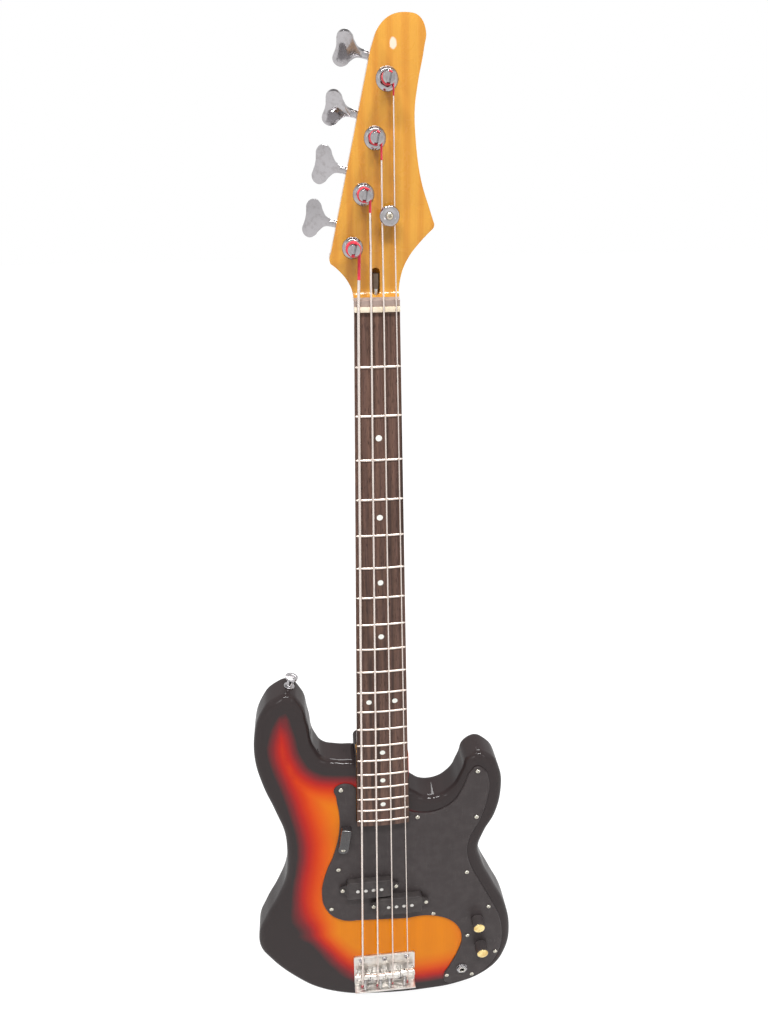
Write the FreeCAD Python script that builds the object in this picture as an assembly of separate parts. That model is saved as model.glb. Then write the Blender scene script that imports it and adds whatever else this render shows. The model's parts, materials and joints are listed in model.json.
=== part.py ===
import FreeCAD, Part
import math
import os

# Four-string solid-body bass guitar, upright: the neck points up (+Z), the strings face -Y
# and the treble side is +X. Lengths are in millimetres. The origin lies on the neck's
# centreline, at the front edge of the nut, in the plane where the fingerboard is glued on.

# Scale and strings, from the thickest string to the thinnest
scale_length = 863.6
fret_count = 20
string_names = ("e", "a", "d", "g")
string_diameters = {"e": 2.6, "a": 2.1, "d": 1.6, "g": 1.2}
saddle_setbacks = {"e": 3.0, "a": 2.3, "d": 1.6, "g": 1.0}
nut_string_pitch = 11.0
bridge_string_pitch = 20.0
string_height_over_frets_at_nut = 1.1
string_height_over_frets_at_saddle = 5.1
board_radius = 254.0

# Clearances shared by every piece
seat_gap = 0.05
running_gap = 0.06
free_gap = 0.35
mesh_gap = 0.25
overrun = 5.0
flat_limit = 0.0001
cord_sides = 6
wire_sides = 4
fastener_sides = 8
head_crown_share = 0.55
head_rim_share = 0.333
hexagon_sides = 6
turn_step_share = 0.25

# Neck
nut_width = 40.0
last_fret_width = 61.5
board_thickness = 6.0
board_end_past_last_fret = 8.4
neck_depth_at_nut = 14.2
neck_depth_at_body = 17.6
heel_depth = 19.4
heel_corner_radius = 3.0
neck_blend_length = 36.0
neck_swell = 1.2
neck_roundness = 2.3
nut_squareness = 2.76
head_squareness = 4.6
heel_squareness = 9.0
neck_section_steps = 10
neck_blend_shares = (0.35, 0.7, 1.0)

# Frets and position marks
fret_crown_width = 2.4
fret_crown_height = 1.2
fret_crown_sides = 6
fret_tang_width = 0.6
fret_tang_depth = 1.6
fret_end_inset = 0.3
dot_diameter = 6.0
dot_thickness = 1.6
double_dot_offset = 14.2
single_dot_frets = (3, 5, 7, 9, 15, 17, 19)
double_dot_fret = 12

# Nut
nut_length = 4.4
nut_slot_depth_in_board = 3.5
nut_rise_over_string = 0.1
nut_slot_gap = 0.15
nut_break = 2.0
nut_bend_radius = 12.0

# Headstock
headstock_length = 224.0
headstock_width = 90.0
headstock_thickness = 14.5
board_shelf_behind_nut = 5.4
scoop_start = 8.0
scoop_length = 36.0
scoop_middle_shares = (0.6, 0.36)

# Truss rod and its slot behind the nut
truss_rod_diameter = 4.8
truss_rod_depth = 7.2
truss_slot_width = 7.0
truss_slot_start = 13.0
truss_slot_length = 23.0
truss_nut_diameter = 6.2
truss_nut_length = 13.0
truss_nut_hex = 4.0
truss_socket_depth = 6.0
truss_rod_end_inset = 14.0

# Body
body_width = 332.0
body_thickness = 42.0
body_edge_radius = 9.0
horn_reach = 187.2
neck_end_share = 0.366
body_past_bridge = 31.3
face_below_fret_tops = 11.5
pocket_length = 103.0
pocket_wall = 1.8
pocket_gap = 0.15
block_end_length = 78.0
block_corner_radius = 6.0
block_edge_radius = 2.5

# Neck plate and its screws
plate_width = 51.0
plate_length = 64.0
plate_thickness = 2.0
plate_corner_radius = 5.0
plate_start = 12.0
plate_screw_inset = 6.5
plate_screw_tip_level = 4.3

# Pickguard
guard_thickness = 2.3
guard_bevel = 0.8
guard_neck_gap = 0.4

# Split pickup: two covers, the bass half nearer the neck
cover_length = 56.0
cover_width = 28.0
cover_height = 13.0
cover_wall = 1.6
cover_corner_radius = 4.0
cover_bevel = 0.8
cover_top_under_string = 3.6
cover_ear_drop = 3.2
cover_ear_thickness = 2.5
cover_ear_radius = 4.2
cover_ear_reach = 33.4
cover_ear_root = 18.0
bass_half_offset = 18.0
treble_half_offset = 20.2
bass_half_scale_share = 0.8187
halves_gap = 4.0
pole_diameter = 4.8
pole_pitch = 9.9
pole_string_pitch = 19.6
pole_rise = 0.5
pole_length = 17.0
bobbin_plate_thickness = 1.6
bobbin_length = 51.0
bobbin_width = 22.0
coil_height = 8.5
coil_margin = 1.5
pickup_rout_depth = 19.0
pickup_rout_gap = 1.2
guard_cutout_gap = 0.5

# Controls on the lower right of the pickguard, placed by shares of the body as its outline is
volume_shares = (0.3687, 0.7304)
tone_shares = (0.3889, 0.8262)
jack_shares = (0.3163, 0.9107)
control_rout_end_shares = (0.3253, 0.9046)
control_rout_radius = 17.0
control_rout_way_width = 24.0
control_rout_floor = 7.0
pot_can_diameter = 24.0
pot_can_height = 10.0
pot_bushing_diameter = 9.3
pot_bushing_rise = 5.0
pot_shaft_diameter = 6.0
pot_nut_across = 11.0
pot_nut_height = 2.2
washer_thickness = 0.8
washer_diameter = 13.0
knob_diameter = 16.6
knob_height = 15.0
knob_lift = 0.5
knob_dome = 1.4
knob_dome_shares = (0.92, 0.6)
knob_recess_diameter = 13.8
knob_recess_depth = 5.4
knob_shaft_cover = 3.0
capacitor_diameter = 7.0
capacitor_length = 16.0
jack_bore = 6.5
jack_sleeve_diameter = 9.4
jack_sleeve_rise = 4.0
jack_sleeve_length = 13.0
jack_nut_across = 12.6
jack_nut_height = 2.4
jack_frame_width = 16.0
jack_frame_thickness = 1.2
jack_frame_depth = 14.0
jack_contact_offset = 3.6

# Bridge
bridge_width = 81.0
bridge_length = 55.0
bridge_thickness = 2.2
bridge_wall_height = 14.5
bridge_bend_radius = 3.0
bridge_corner_radius = 3.0
bridge_front_from_scale = 25.6
saddle_diameter = 9.0
saddle_length = 18.6
saddle_groove_depth = 0.9
saddle_groove_gap = 0.2
saddle_screw_diameter = 2.5
saddle_screw_reach = 7.4
saddle_screw_rise = 0.4
intonation_offset = 4.2
intonation_height = 10.6
intonation_head_diameter = 5.0
intonation_head_height = 2.0
spring_wire = 0.55
spring_radius = 2.0
spring_curls = 6
string_hole_height = 5.8
string_hole_gap = 0.8
ball_diameter = 5.4
ball_length = 3.2
ball_gap = 0.6
bridge_screw_edge = 7.0
bridge_screw_rear = 9.5
bridge_screw_reach = 30.0

# Strap buttons
button_head_diameter = 14.0
button_neck_diameter = 7.4
button_base_diameter = 12.0
button_height = 13.5
button_rim = 2.6
button_base_height = 2.4
button_screw_diameter = 4.0
button_screw_length = 32.0
button_bore = 4.3
horn_button_share = (-0.304, 0.000)
tail_button_share = (0.000, 0.998)

# Thumb rest on the bass side of the pickguard
rest_length = 31.0
rest_width = 12.5
rest_height = 9.0
rest_edge_radius = 2.5
rest_flange_length = 10.0
rest_flange_thickness = 3.0
rest_past_neck = 4.0
rest_side_share = 0.131
rest_tilt_deg = 8.0

# String tree
tree_diameter = 17.4
tree_thickness = 3.2
tree_dish_depth = 1.1
tree_dish_diameter = 11.5
tree_stem_diameter = 6.4
tree_place = (11.5, 78.0)
tree_height = 6.8
tree_screw_tip_depth = 5.0
tree_bend_radius = 40.0

# Tuning machines: plate, bushing, post, gear wheel and worm with its key
post_inset = 17.2
first_post_share = 0.053
post_pitch_share = 0.291
machine_plate_thickness = 1.6
machine_plate_half_width = 14.4
machine_plate_low = 14.0
machine_plate_high = 21.6
machine_plate_corner = 2.5
machine_screw_inset = 2.9
machine_screw_high_inset = 2.2
gear_teeth = 20
gear_module = 1.05
gear_thickness = 5.0
gear_bore_radius = 3.0
gear_hub_radius = 6.0
worm_pitch_radius = 4.3
worm_length = 12.0
thread_steps = 12
tooth_addendum_share = 0.72
tooth_dedendum_share = 1.2
tooth_flank_share = 0.2
ear_thickness = 2.0
ear_gap = 0.4
ear_half_width = 4.3
shaft_radius = 2.4
bushing_flange_diameter = 18.5
bushing_flange_thickness = 2.2
bushing_barrel_diameter = 13.6
bushing_barrel_length = 9.0
post_radius = 4.8
post_waist_radius = 3.6
post_top_radius = 5.4
post_height = 18.4
post_cap_height = 3.6
post_bevel = 1.0
post_slot_width = 2.8
post_slot_depth = 7.0
post_foot_height = 1.0
gear_screw_head_radius = 3.4
gear_screw_head_height = 1.8
key_width = 32.0
key_length = 24.0
key_thickness = 2.6
key_stem_radius = 3.3
key_stem_start = 1.0
key_from_post = 22.0
key_angles_deg = {"e": 8.0, "a": 16.0, "d": 40.0, "g": 46.0}
winding_gap = 0.45
winding_turns = {"e": 2.25, "a": 2.75, "d": 3.25, "g": 4.25}
winding_lifts = {"e": 2.2, "a": 0.0, "d": 0.0, "g": 0.0}

# Screws: head diameter, head height, shank diameter and length of each kind. The neck's and the
# string tree's screws get their length from the wood that they stop in.
guard_screw = (5.6, 1.7, 2.8, 13.0)
machine_screw = (4.6, 1.5, 2.2, 11.0)
neck_screw_sizes = (8.6, 1.9, 4.4)
bridge_screw = (7.0, 2.4, 3.6, 26.0)
pickup_screw = (5.4, 1.8, 2.6, 28.0)
tree_screw_sizes = (6.2, 2.0, 2.8)
rest_screw = (5.6, 1.7, 2.8, 13.0)

# Outline of the body, treble to bass round the back of the neck. Each point is a share of
# the body's width from the centreline and a share of its length below the upper horn, where
# the neck's end lies at neck_end_share and the tail at 1.
body_outline_shares = [
    (0.015, 0.243), (-0.090, 0.197), (-0.151, 0.192), (-0.199, 0.182), (-0.230, 0.149),
    (-0.247, 0.084), (-0.265, 0.030), (-0.304, 0.000), (-0.364, 0.013), (-0.408, 0.053),
    (-0.432, 0.112), (-0.436, 0.176), (-0.417, 0.249), (-0.383, 0.325), (-0.355, 0.397),
    (-0.352, 0.464), (-0.366, 0.546), (-0.404, 0.610), (-0.450, 0.670), (-0.484, 0.730),
    (-0.484, 0.773), (-0.446, 0.824), (-0.376, 0.886), (-0.274, 0.948), (-0.151, 0.984),
    (0.000, 0.998), (0.151, 1.000), (0.295, 0.990), (0.395, 0.965), (0.467, 0.922),
    (0.506, 0.857), (0.509, 0.779), (0.482, 0.700), (0.431, 0.624), (0.384, 0.552),
    (0.364, 0.491), (0.383, 0.444), (0.420, 0.389), (0.437, 0.323), (0.429, 0.260),
    (0.395, 0.214), (0.346, 0.196), (0.310, 0.208), (0.285, 0.251), (0.256, 0.292),
    (0.211, 0.315), (0.157, 0.317), (0.108, 0.295),
]

# Outline of the pickguard, from the bass side of the neck round to the bridge, then from
# the bridge round the controls and the lower horn to the treble side of the neck.
guard_bass_shares = [
    (-0.143, 0.250), (-0.165, 0.258), (-0.163, 0.292), (-0.155, 0.343), (-0.158, 0.393),
    (-0.182, 0.466), (-0.214, 0.524), (-0.233, 0.589), (-0.225, 0.638), (-0.196, 0.673),
    (-0.155, 0.691), (-0.105, 0.695),
]
guard_treble_shares = [
    (0.096, 0.705), (0.211, 0.708), (0.264, 0.728), (0.301, 0.763), (0.312, 0.800),
    (0.297, 0.851), (0.268, 0.900), (0.244, 0.941), (0.252, 0.964), (0.310, 0.965),
    (0.383, 0.945), (0.437, 0.908), (0.468, 0.855), (0.474, 0.790), (0.456, 0.726),
    (0.419, 0.668), (0.372, 0.601), (0.333, 0.542), (0.316, 0.491), (0.324, 0.446),
    (0.358, 0.393), (0.382, 0.327), (0.384, 0.272), (0.364, 0.239), (0.340, 0.229),
    (0.315, 0.244), (0.293, 0.285), (0.256, 0.331), (0.200, 0.354), (0.134, 0.356),
]
guard_neck_bass_share = 0.267
guard_neck_treble_share = 0.347
guard_screw_shares = [
    (-0.146, 0.264), (-0.167, 0.513), (-0.200, 0.645), (0.194, 0.695), (0.334, 0.788),
    (0.256, 0.935), (0.412, 0.689), (0.319, 0.560), (0.345, 0.380), (0.341, 0.240),
    (0.127, 0.365), (0.452, 0.860), (0.360, 0.940),
]

# Outline of the headstock in shares of its width and length: treble edge upwards, then the
# bass edge downwards.
head_treble_shares = [
    (0.236, 0.112), (0.264, 0.153), (0.332, 0.204), (0.437, 0.254), (0.545, 0.296),
]
head_beak_shares = [(0.561, 0.306), (0.556, 0.322)]
head_side_shares = [
    (0.530, 0.352), (0.432, 0.470), (0.382, 0.594), (0.370, 0.714), (0.396, 0.790),
    (0.446, 0.892), (0.462, 0.945), (0.418, 0.984), (0.254, 1.001), (0.130, 0.987),
    (0.045, 0.955), (0.000, 0.914),
]
head_edge_top_share = (-0.036, 0.866)
head_edge_low_share = (-0.424, 0.217)
head_bass_beak_shares = [(-0.440, 0.192), (-0.433, 0.177)]
head_bass_shares = [(-0.354, 0.151), (-0.272, 0.110), (-0.232, 0.075)]

# Outline of half a key's blade in shares of its length, outwards, and of its half width
key_blade_shares = [
    (0, 0.20), (0.20, 0.26), (0.36, 0.52), (0.50, 0.86), (0.66, 1.00), (0.84, 0.94), (0.97, 0.66),
    (0.95, 0.34), (0.93, 0.14),
]
key_blade_end_share = 0.93

# Levels and places worked out from the sizes above
half_nut = nut_width / 2
fret_top = -(board_thickness + fret_crown_height)
body_face = fret_top + face_below_fret_tops
body_back = body_face + body_thickness
guard_face = body_face - guard_thickness
head_back = heel_depth
head_face = head_back - headstock_thickness
board_axis = board_radius - board_thickness
tree_screw_level = head_face - tree_height - tree_thickness + tree_dish_depth
neck_screw = neck_screw_sizes + (body_back + plate_thickness - plate_screw_tip_level,)
tree_screw = tree_screw_sizes + (head_back - tree_screw_tip_depth - tree_screw_level,)


def vector(x, y, z):
    return FreeCAD.Vector(x, y, z)


across = vector(1, 0, 0)
forward = vector(0, -1, 0)
backward = vector(0, 1, 0)
upward = vector(0, 0, 1)
downward = vector(0, 0, -1)


def fret_place(number):
    return scale_length * (1 - 2 ** (-number / 12))


last_fret = fret_place(fret_count)
board_end = last_fret + board_end_past_last_fret
bridge_front = scale_length - bridge_front_from_scale
bridge_rear = bridge_front + bridge_length
tail_reach = bridge_rear + body_past_bridge - board_end


def half_neck(below_nut):
    """Half the neck's width at a distance below the nut; above the nut it stays even."""
    grow = (last_fret_width - nut_width) / 2 / last_fret
    return half_nut + grow * max(below_nut, 0)


def string_x(name, below_nut):
    place = string_names.index(name) - (len(string_names) - 1) / 2
    share = below_nut / scale_length
    return place * (nut_string_pitch + (bridge_string_pitch - nut_string_pitch) * share)


def crown_drop(x):
    """How far the fingerboard's curve falls away at a distance from the centreline."""
    return x * x / (2 * board_radius)


def body_level(share):
    """The height of a share of the body's length, which the neck's end parts in two."""
    if share < neck_end_share:
        return -board_end + horn_reach * (1 - share / neck_end_share)
    return -board_end - tail_reach * (share - neck_end_share) / (1 - neck_end_share)


def body_point(share, y):
    return vector(share[0] * body_width, y, body_level(share[1]))


def head_point(share, y):
    return vector(share[0] * headstock_width, y, share[1] * headstock_length)


def prism(points, direction):
    return Part.Face(Part.makePolygon(points + [points[0]])).extrude(direction)


def spline_edge(points):
    curve = Part.BSplineCurve()
    curve.interpolate(Points=points)
    return curve.toShape()


def way_at(before, here, after):
    """The direction, at a point, of the circle through it and its two neighbours."""
    first = here - before
    second = after - here
    return (first * (second.Length / first.Length) + second * (first.Length / second.Length)).normalize()


def mirrored_way(way, chord):
    """The direction that an arc has at its other end, given the chord between its ends."""
    along = vector(chord.x, chord.y, chord.z).normalize()
    return along * (2 * along.dot(way)) - way


def smooth_path(points):
    """Arcs that run through the points without a corner."""
    ways = [way_at(points[i - 1], points[i], points[i + 1]) for i in range(1, len(points) - 1)]
    ways.insert(0, mirrored_way(ways[0], points[1] - points[0]))
    ways.append(mirrored_way(ways[-1], points[-1] - points[-2]))
    edges = []
    for i in range(len(points) - 1):
        edges += biarc_edges(points[i], ways[i], points[i + 1], ways[i + 1])
    return edges


def loop_ways(points):
    count = len(points)
    return [way_at(points[i - 1], points[i], points[(i + 1) % count]) for i in range(count)]


def smooth_loop(points):
    """Arcs that run through the points and close without a corner."""
    ways = loop_ways(points)
    edges = []
    for i in range(len(points)):
        after = (i + 1) % len(points)
        edges += biarc_edges(points[i], ways[i], points[after], ways[after])
    return edges


def line_edge(start, end):
    return Part.LineSegment(start, end).toShape()


def arc_edge(start, middle, end):
    return Part.Arc(start, middle, end).toShape()


def slab(edges, direction):
    """A solid of an outline of joined edges, drawn out along a direction."""
    return Part.Face(Part.Wire(Part.__sortEdges__(edges))).extrude(direction)


def box_between(low, high):
    size = high - low
    return Part.makeBox(size.x, size.y, size.z, low)


def rounded_slab(centre, width, length, corner, y, depth):
    """A flat block with round corners: width along X, length along Z, depth along Y."""
    low = centre + vector(-width / 2, 0, -length / 2)
    block = Part.makeBox(width, depth, length, vector(low.x, y, low.z))
    along = [edge for edge in block.Edges if abs(edge.tangentAt(edge.FirstParameter).y) > 0.5]
    return block.makeFillet(corner, along)


def cut_all(shape, cutters):
    for cutter in cutters:
        shape = shape.cut(cutter)
    return shape


def join_all(shapes):
    joined = shapes[0]
    for shape in shapes[1:]:
        joined = joined.fuse(shape)
    return joined.removeSplitter()


def turned(profile, centre, direction):
    """A turned piece: profile lists (radius, height) pairs round an axis through centre."""
    points = [vector(radius, 0, height) for radius, height in profile]
    face = Part.Face(Part.makePolygon(points + [points[0]]))
    solid = face.revolve(vector(0, 0, 0), upward, 360)
    return set_along(solid, centre, direction)


def faceted(profile, centre, direction):
    """A small fastener: like a turned piece, but with flat sides in place of the round."""
    rings = []
    for radius, height in profile:
        corners = []
        for side in range(fastener_sides):
            angle = 2 * math.pi * side / fastener_sides
            corners.append(vector(radius * math.cos(angle), radius * math.sin(angle), height))
        rings.append(Part.makePolygon(corners + [corners[0]]))
    solid = Part.makeLoft(rings, True, True)
    return set_along(solid, centre, direction)


def set_along(shape, centre, direction):
    """Moves a shape made on the Z axis so that its axis runs along a direction."""
    turn = FreeCAD.Rotation(upward, direction)
    moved = shape.copy()
    moved.Placement = FreeCAD.Placement(centre, turn).multiply(shape.Placement)
    return moved


def pan_screw(kind, seat, into):
    """A screw whose rounded head sits on a face at seat and whose shank runs along into."""
    head_width, head_height, shank, length = kind
    radius = head_width / 2
    rim = head_height * head_rim_share
    head = faceted([(radius * head_crown_share, -head_height), (radius, -rim), (radius, 0)], seat, into)
    return head.fuse(faceted([(shank / 2, 0), (shank / 2, length)], seat, into)).removeSplitter()


def flat_screw(kind, seat, into):
    """A countersunk screw whose head lies level with the face at seat."""
    head_width, head_height, shank, length = kind
    return faceted([(head_width / 2, 0), (shank / 2, head_height), (shank / 2, length)], seat, into)


def shank_hole(kind, seat, into):
    """The hole that a screw's shank needs, open at the seat and a little deeper than its tip."""
    radius = kind[2] / 2 + seat_gap
    return faceted([(radius, -overrun), (radius, kind[3] + free_gap)], seat, into)


def countersink(kind, seat, into):
    head_width, head_height, shank, length = kind
    wide = head_width / 2 + seat_gap
    narrow = shank / 2 + seat_gap
    return faceted([(wide, -overrun), (wide, 0), (narrow, head_height), (narrow, length + free_gap)],
                   seat, into)


def faceted_hole(radius, depth, seat, into):
    """A hole with flat sides that a round pin of a radius fits in."""
    reach = radius / math.cos(math.pi / fastener_sides)
    return faceted([(reach, 0), (reach, depth)], seat, into)


# Body and pickguard outlines

def body_rim():
    return [body_point(share, body_face) for share in body_outline_shares]


def rim_frame(share):
    """The middle of the body's side at one of the outline's points, and the way out of it."""
    index = body_outline_shares.index(share)
    along = loop_ways(body_rim())[index]
    point = body_point(share, (body_face + body_back) / 2)
    return point, vector(along.z, 0, -along.x)


def guard_edges(y):
    bass = [body_point(share, y) for share in guard_bass_shares]
    treble = [body_point(share, y) for share in guard_treble_shares]
    low = -(board_end + guard_neck_gap)
    bass_z = body_level(guard_neck_bass_share)
    treble_z = body_level(guard_neck_treble_share)
    bass_top = vector(-(half_neck(-bass_z) + guard_neck_gap), y, bass_z)
    bass_low = vector(-(half_neck(-low) + guard_neck_gap), y, low)
    treble_low = vector(half_neck(-low) + guard_neck_gap, y, low)
    treble_top = vector(half_neck(-treble_z) + guard_neck_gap, y, treble_z)
    return smooth_path([bass_top] + bass) + smooth_path(treble + [treble_top]) + [
        line_edge(bass[-1], treble[0]),
        line_edge(treble_top, treble_low),
        line_edge(treble_low, bass_low),
        line_edge(bass_low, bass_top),
    ]


# Neck, fingerboard and what is set in them

def neck_section(below_nut, depth, roundness, half_width):
    """The neck's cross-section: flat glue face and a back that grows squarer with roundness."""
    z = -below_nut
    points = [vector(half_width, 0, z)]
    for step in range(1, neck_section_steps):
        angle = math.pi * step / neck_section_steps
        reach = abs(math.cos(angle)) ** (2 / roundness)
        height = math.sin(angle) ** (2 / roundness)
        points.append(vector(half_width * math.copysign(reach, math.cos(angle)), depth * height, z))
    points.append(vector(-half_width, 0, z))
    return Part.Wire([spline_edge(points), line_edge(points[-1], points[0])])


def make_neck_shaft():
    heel_top = board_end - pocket_length
    blend_top = heel_top - neck_blend_length
    stations = [
        (-(scoop_start + scoop_length / 2), neck_depth_at_nut + neck_swell, head_squareness),
        (-scoop_start, neck_depth_at_nut, nut_squareness),
        (0, neck_depth_at_nut, neck_roundness),
        (blend_top, neck_depth_at_body, neck_roundness),
    ]
    for share in neck_blend_shares:
        depth = neck_depth_at_body + (heel_depth - neck_depth_at_body) * share ** 2
        roundness = neck_roundness + (heel_squareness - neck_roundness) * share ** 3
        stations.append((blend_top + neck_blend_length * share, depth, roundness))
    wires = [neck_section(below, depth, roundness, half_neck(below))
             for below, depth, roundness in stations]
    return Part.makeLoft(wires, True, True)


def make_heel():
    top = board_end - pocket_length
    points = [
        vector(-half_neck(top), 0, -top),
        vector(half_neck(top), 0, -top),
        vector(half_neck(board_end), 0, -board_end),
        vector(-half_neck(board_end), 0, -board_end),
    ]
    heel = prism(points, backward * heel_depth)
    corners = [edge for edge in heel.Edges
               if edge.BoundBox.YLength > heel_depth / 2 and edge.BoundBox.ZMax < -(top + seat_gap)]
    return heel.makeFillet(heel_corner_radius, corners)


def headstock_edges(y):
    neck_treble = [vector(half_nut, y, 0), vector(half_nut, y, scoop_start)]
    neck_bass = [vector(-half_nut, y, scoop_start), vector(-half_nut, y, 0)]
    treble = [head_point(share, y) for share in head_treble_shares]
    beak = [head_point(share, y) for share in head_beak_shares]
    side = [head_point(share, y) for share in head_side_shares]
    edge_top = head_point(head_edge_top_share, y)
    edge_low = head_point(head_edge_low_share, y)
    bass_beak = [head_point(share, y) for share in head_bass_beak_shares]
    bass = [head_point(share, y) for share in head_bass_shares]
    return smooth_path([neck_treble[1]] + treble) + smooth_path([beak[1]] + side + [edge_top]) + \
        smooth_path([bass_beak[1]] + bass + [neck_bass[0]]) + [
        line_edge(neck_treble[0], neck_treble[1]),
        arc_edge(treble[-1], beak[0], beak[1]),
        line_edge(edge_top, edge_low),
        arc_edge(edge_low, bass_beak[0], bass_beak[1]),
        line_edge(neck_bass[0], neck_bass[1]),
        line_edge(neck_bass[1], neck_treble[0]),
    ]


def ramp_radius():
    """The curved step behind the nut falls from the board's face to the headstock's face."""
    return board_thickness + head_face


def ramp_centre():
    return nut_length + board_shelf_behind_nut + ramp_radius()


def ramp_cutter():
    """What the step behind the nut and the headstock's face leave open in front."""
    radius = ramp_radius()
    reach = headstock_width * 2
    start = vector(-reach / 2, -board_thickness, ramp_centre())
    scoop = Part.makeCylinder(radius, reach, start, across)
    low = vector(-reach / 2, -board_thickness - radius - overrun, ramp_centre() - radius)
    above = box_between(low, vector(reach / 2, -board_thickness, headstock_length * 2))
    face = box_between(vector(-reach / 2, -board_thickness - overrun, ramp_centre()),
                       vector(reach / 2, head_face, headstock_length * 2))
    return join_all([scoop, above, face])


def make_headstock():
    """The headstock blank, scooped at its back where it runs into the neck."""
    blank = slab(headstock_edges(0), backward * (head_back + overrun))
    reach = headstock_width * 2
    scoop_end = scoop_start + scoop_length
    low = vector(-reach / 2, neck_depth_at_nut, scoop_start)
    along_share, depth_share = scoop_middle_shares
    middle = vector(-reach / 2, neck_depth_at_nut + (head_back - neck_depth_at_nut) * depth_share,
                    scoop_start + scoop_length * along_share)
    high = vector(-reach / 2, head_back, scoop_end)
    top = vector(-reach / 2, head_back, headstock_length + overrun)
    outer_top = vector(-reach / 2, head_back + overrun * 2, headstock_length + overrun)
    outer_low = vector(-reach / 2, head_back + overrun * 2, -overrun)
    inner_low = vector(-reach / 2, neck_depth_at_nut, -overrun)
    behind = slab([
        line_edge(inner_low, low), arc_edge(low, middle, high), line_edge(high, top),
        line_edge(top, outer_top), line_edge(outer_top, outer_low), line_edge(outer_low, inner_low),
    ], across * reach)
    below = box_between(vector(-reach, -overrun, -overrun), vector(reach, head_back * 2, scoop_start))
    return blank.cut(behind).cut(below)


def truss_slot():
    """The slot behind the nut that a key reaches the truss rod's nut through."""
    radius = truss_slot_width / 2
    low = truss_slot_start + radius
    high = truss_slot_start + truss_slot_length - radius
    floor = truss_rod_depth + radius
    front = -board_thickness - overrun
    slot = box_between(vector(-radius, front, low), vector(radius, truss_rod_depth, high))
    round_floor = Part.makeCylinder(radius, high - low, vector(0, truss_rod_depth, low), upward)
    ends = [Part.makeCylinder(radius, floor - radius - front, vector(0, front, z), backward)
            for z in (low, high)]
    balls = [Part.makeSphere(radius, vector(0, truss_rod_depth, z)) for z in (low, high)]
    return join_all([slot, round_floor] + ends + balls)


def make_neck(machine_holes, string_tree_hole, neck_screw_holes):
    blank = join_all([make_neck_shaft(), make_heel(), make_headstock()])
    rod_length = truss_slot_start + board_end - truss_rod_end_inset
    bore = Part.makeCylinder(truss_rod_diameter / 2 + seat_gap, rod_length + overrun,
                             vector(0, truss_rod_depth, truss_slot_start + overrun), downward)
    cutters = [ramp_cutter(), truss_slot(), bore, string_tree_hole]
    return cut_all(blank, cutters + machine_holes + neck_screw_holes)


def make_truss_rod():
    length = truss_slot_start + board_end - truss_rod_end_inset
    return Part.makeCylinder(truss_rod_diameter / 2, length,
                             vector(0, truss_rod_depth, truss_slot_start + overrun), downward)


def make_truss_nut():
    """The adjusting nut on the rod's upper end, with a hexagon socket that faces the slot."""
    start = vector(0, truss_rod_depth, truss_slot_start + overrun + seat_gap)
    barrel = Part.makeCylinder(truss_nut_diameter / 2, truss_nut_length, start, upward)
    mouth = start + upward * truss_nut_length
    return barrel.cut(hexagon(truss_nut_hex, truss_socket_depth, mouth, downward))


def hexagon(across_flats, height, centre, direction):
    radius = across_flats / 2 / math.cos(math.pi / hexagon_sides)
    points = []
    for side in range(hexagon_sides):
        angle = 2 * math.pi * side / hexagon_sides
        points.append(vector(radius * math.cos(angle), radius * math.sin(angle), 0))
    return set_along(prism(points, upward * height), centre, direction)


def board_solid(bottom_y, grow):
    """The fingerboard's blank with its round face, grown by a margin on the face."""
    top = nut_length + board_shelf_behind_nut + ramp_radius()
    outline = [
        vector(-half_nut, bottom_y, top),
        vector(half_nut, bottom_y, top),
        vector(half_nut, bottom_y, 0),
        vector(half_neck(board_end), bottom_y, -board_end),
        vector(-half_neck(board_end), bottom_y, -board_end),
        vector(-half_nut, bottom_y, 0),
    ]
    blank = prism(outline, forward * (board_thickness * 2))
    roll = Part.makeCylinder(board_radius + grow, board_end + top + overrun * 2,
                             vector(0, board_axis, -board_end - overrun), upward)
    return blank.common(roll)


def fret_ring(number, width, top_height, depth, half_angle):
    """A band of the board's curve at a fret: from depth below the face to top_height over it."""
    z = -fret_place(number)
    face_y = -board_thickness
    points = [
        vector(0, face_y + depth, z - width / 2),
        vector(0, face_y - top_height, z - width / 2),
        vector(0, face_y - top_height, z + width / 2),
        vector(0, face_y + depth, z + width / 2),
    ]
    face = Part.Face(Part.makePolygon(points + [points[0]]))
    return sweep_round_board(face, half_angle)


def sweep_round_board(face, half_angle):
    axis_point = vector(0, board_axis, 0)
    face.rotate(axis_point, upward, -half_angle)
    return face.revolve(axis_point, upward, half_angle * 2)


def fret_half_angle(number, inset):
    return math.degrees(math.asin((half_neck(fret_place(number)) - inset) / board_radius))


def make_fret(number):
    z = -fret_place(number)
    face_y = -board_thickness
    tang = fret_tang_width / 2
    points = []
    for side in range(fret_crown_sides + 1):
        angle = math.pi * side / fret_crown_sides
        points.append(vector(0, face_y - fret_crown_height * math.sin(angle),
                             z - fret_crown_width / 2 * math.cos(angle)))
    points += [vector(0, face_y, z + tang), vector(0, face_y + fret_tang_depth, z + tang),
               vector(0, face_y + fret_tang_depth, z - tang), vector(0, face_y, z - tang)]
    profile = Part.Face(Part.makePolygon(points + [points[0]]))
    return sweep_round_board(profile, fret_half_angle(number, fret_end_inset))


def dot_places():
    places = [(0, number) for number in single_dot_frets]
    places += [(side * double_dot_offset, double_dot_fret) for side in (-1, 1)]
    return [vector(x, 0, -(fret_place(number - 1) + fret_place(number)) / 2) for x, number in places]


def make_dots():
    roll = board_solid(0, 0)
    dots = []
    for place in dot_places():
        start = vector(place.x, -board_thickness + crown_drop(place.x) + dot_thickness, place.z)
        disc = Part.makeCylinder(dot_diameter / 2, dot_thickness + overrun, start, forward)
        dots.append(disc.common(roll))
    return Part.makeCompound(dots)


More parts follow.
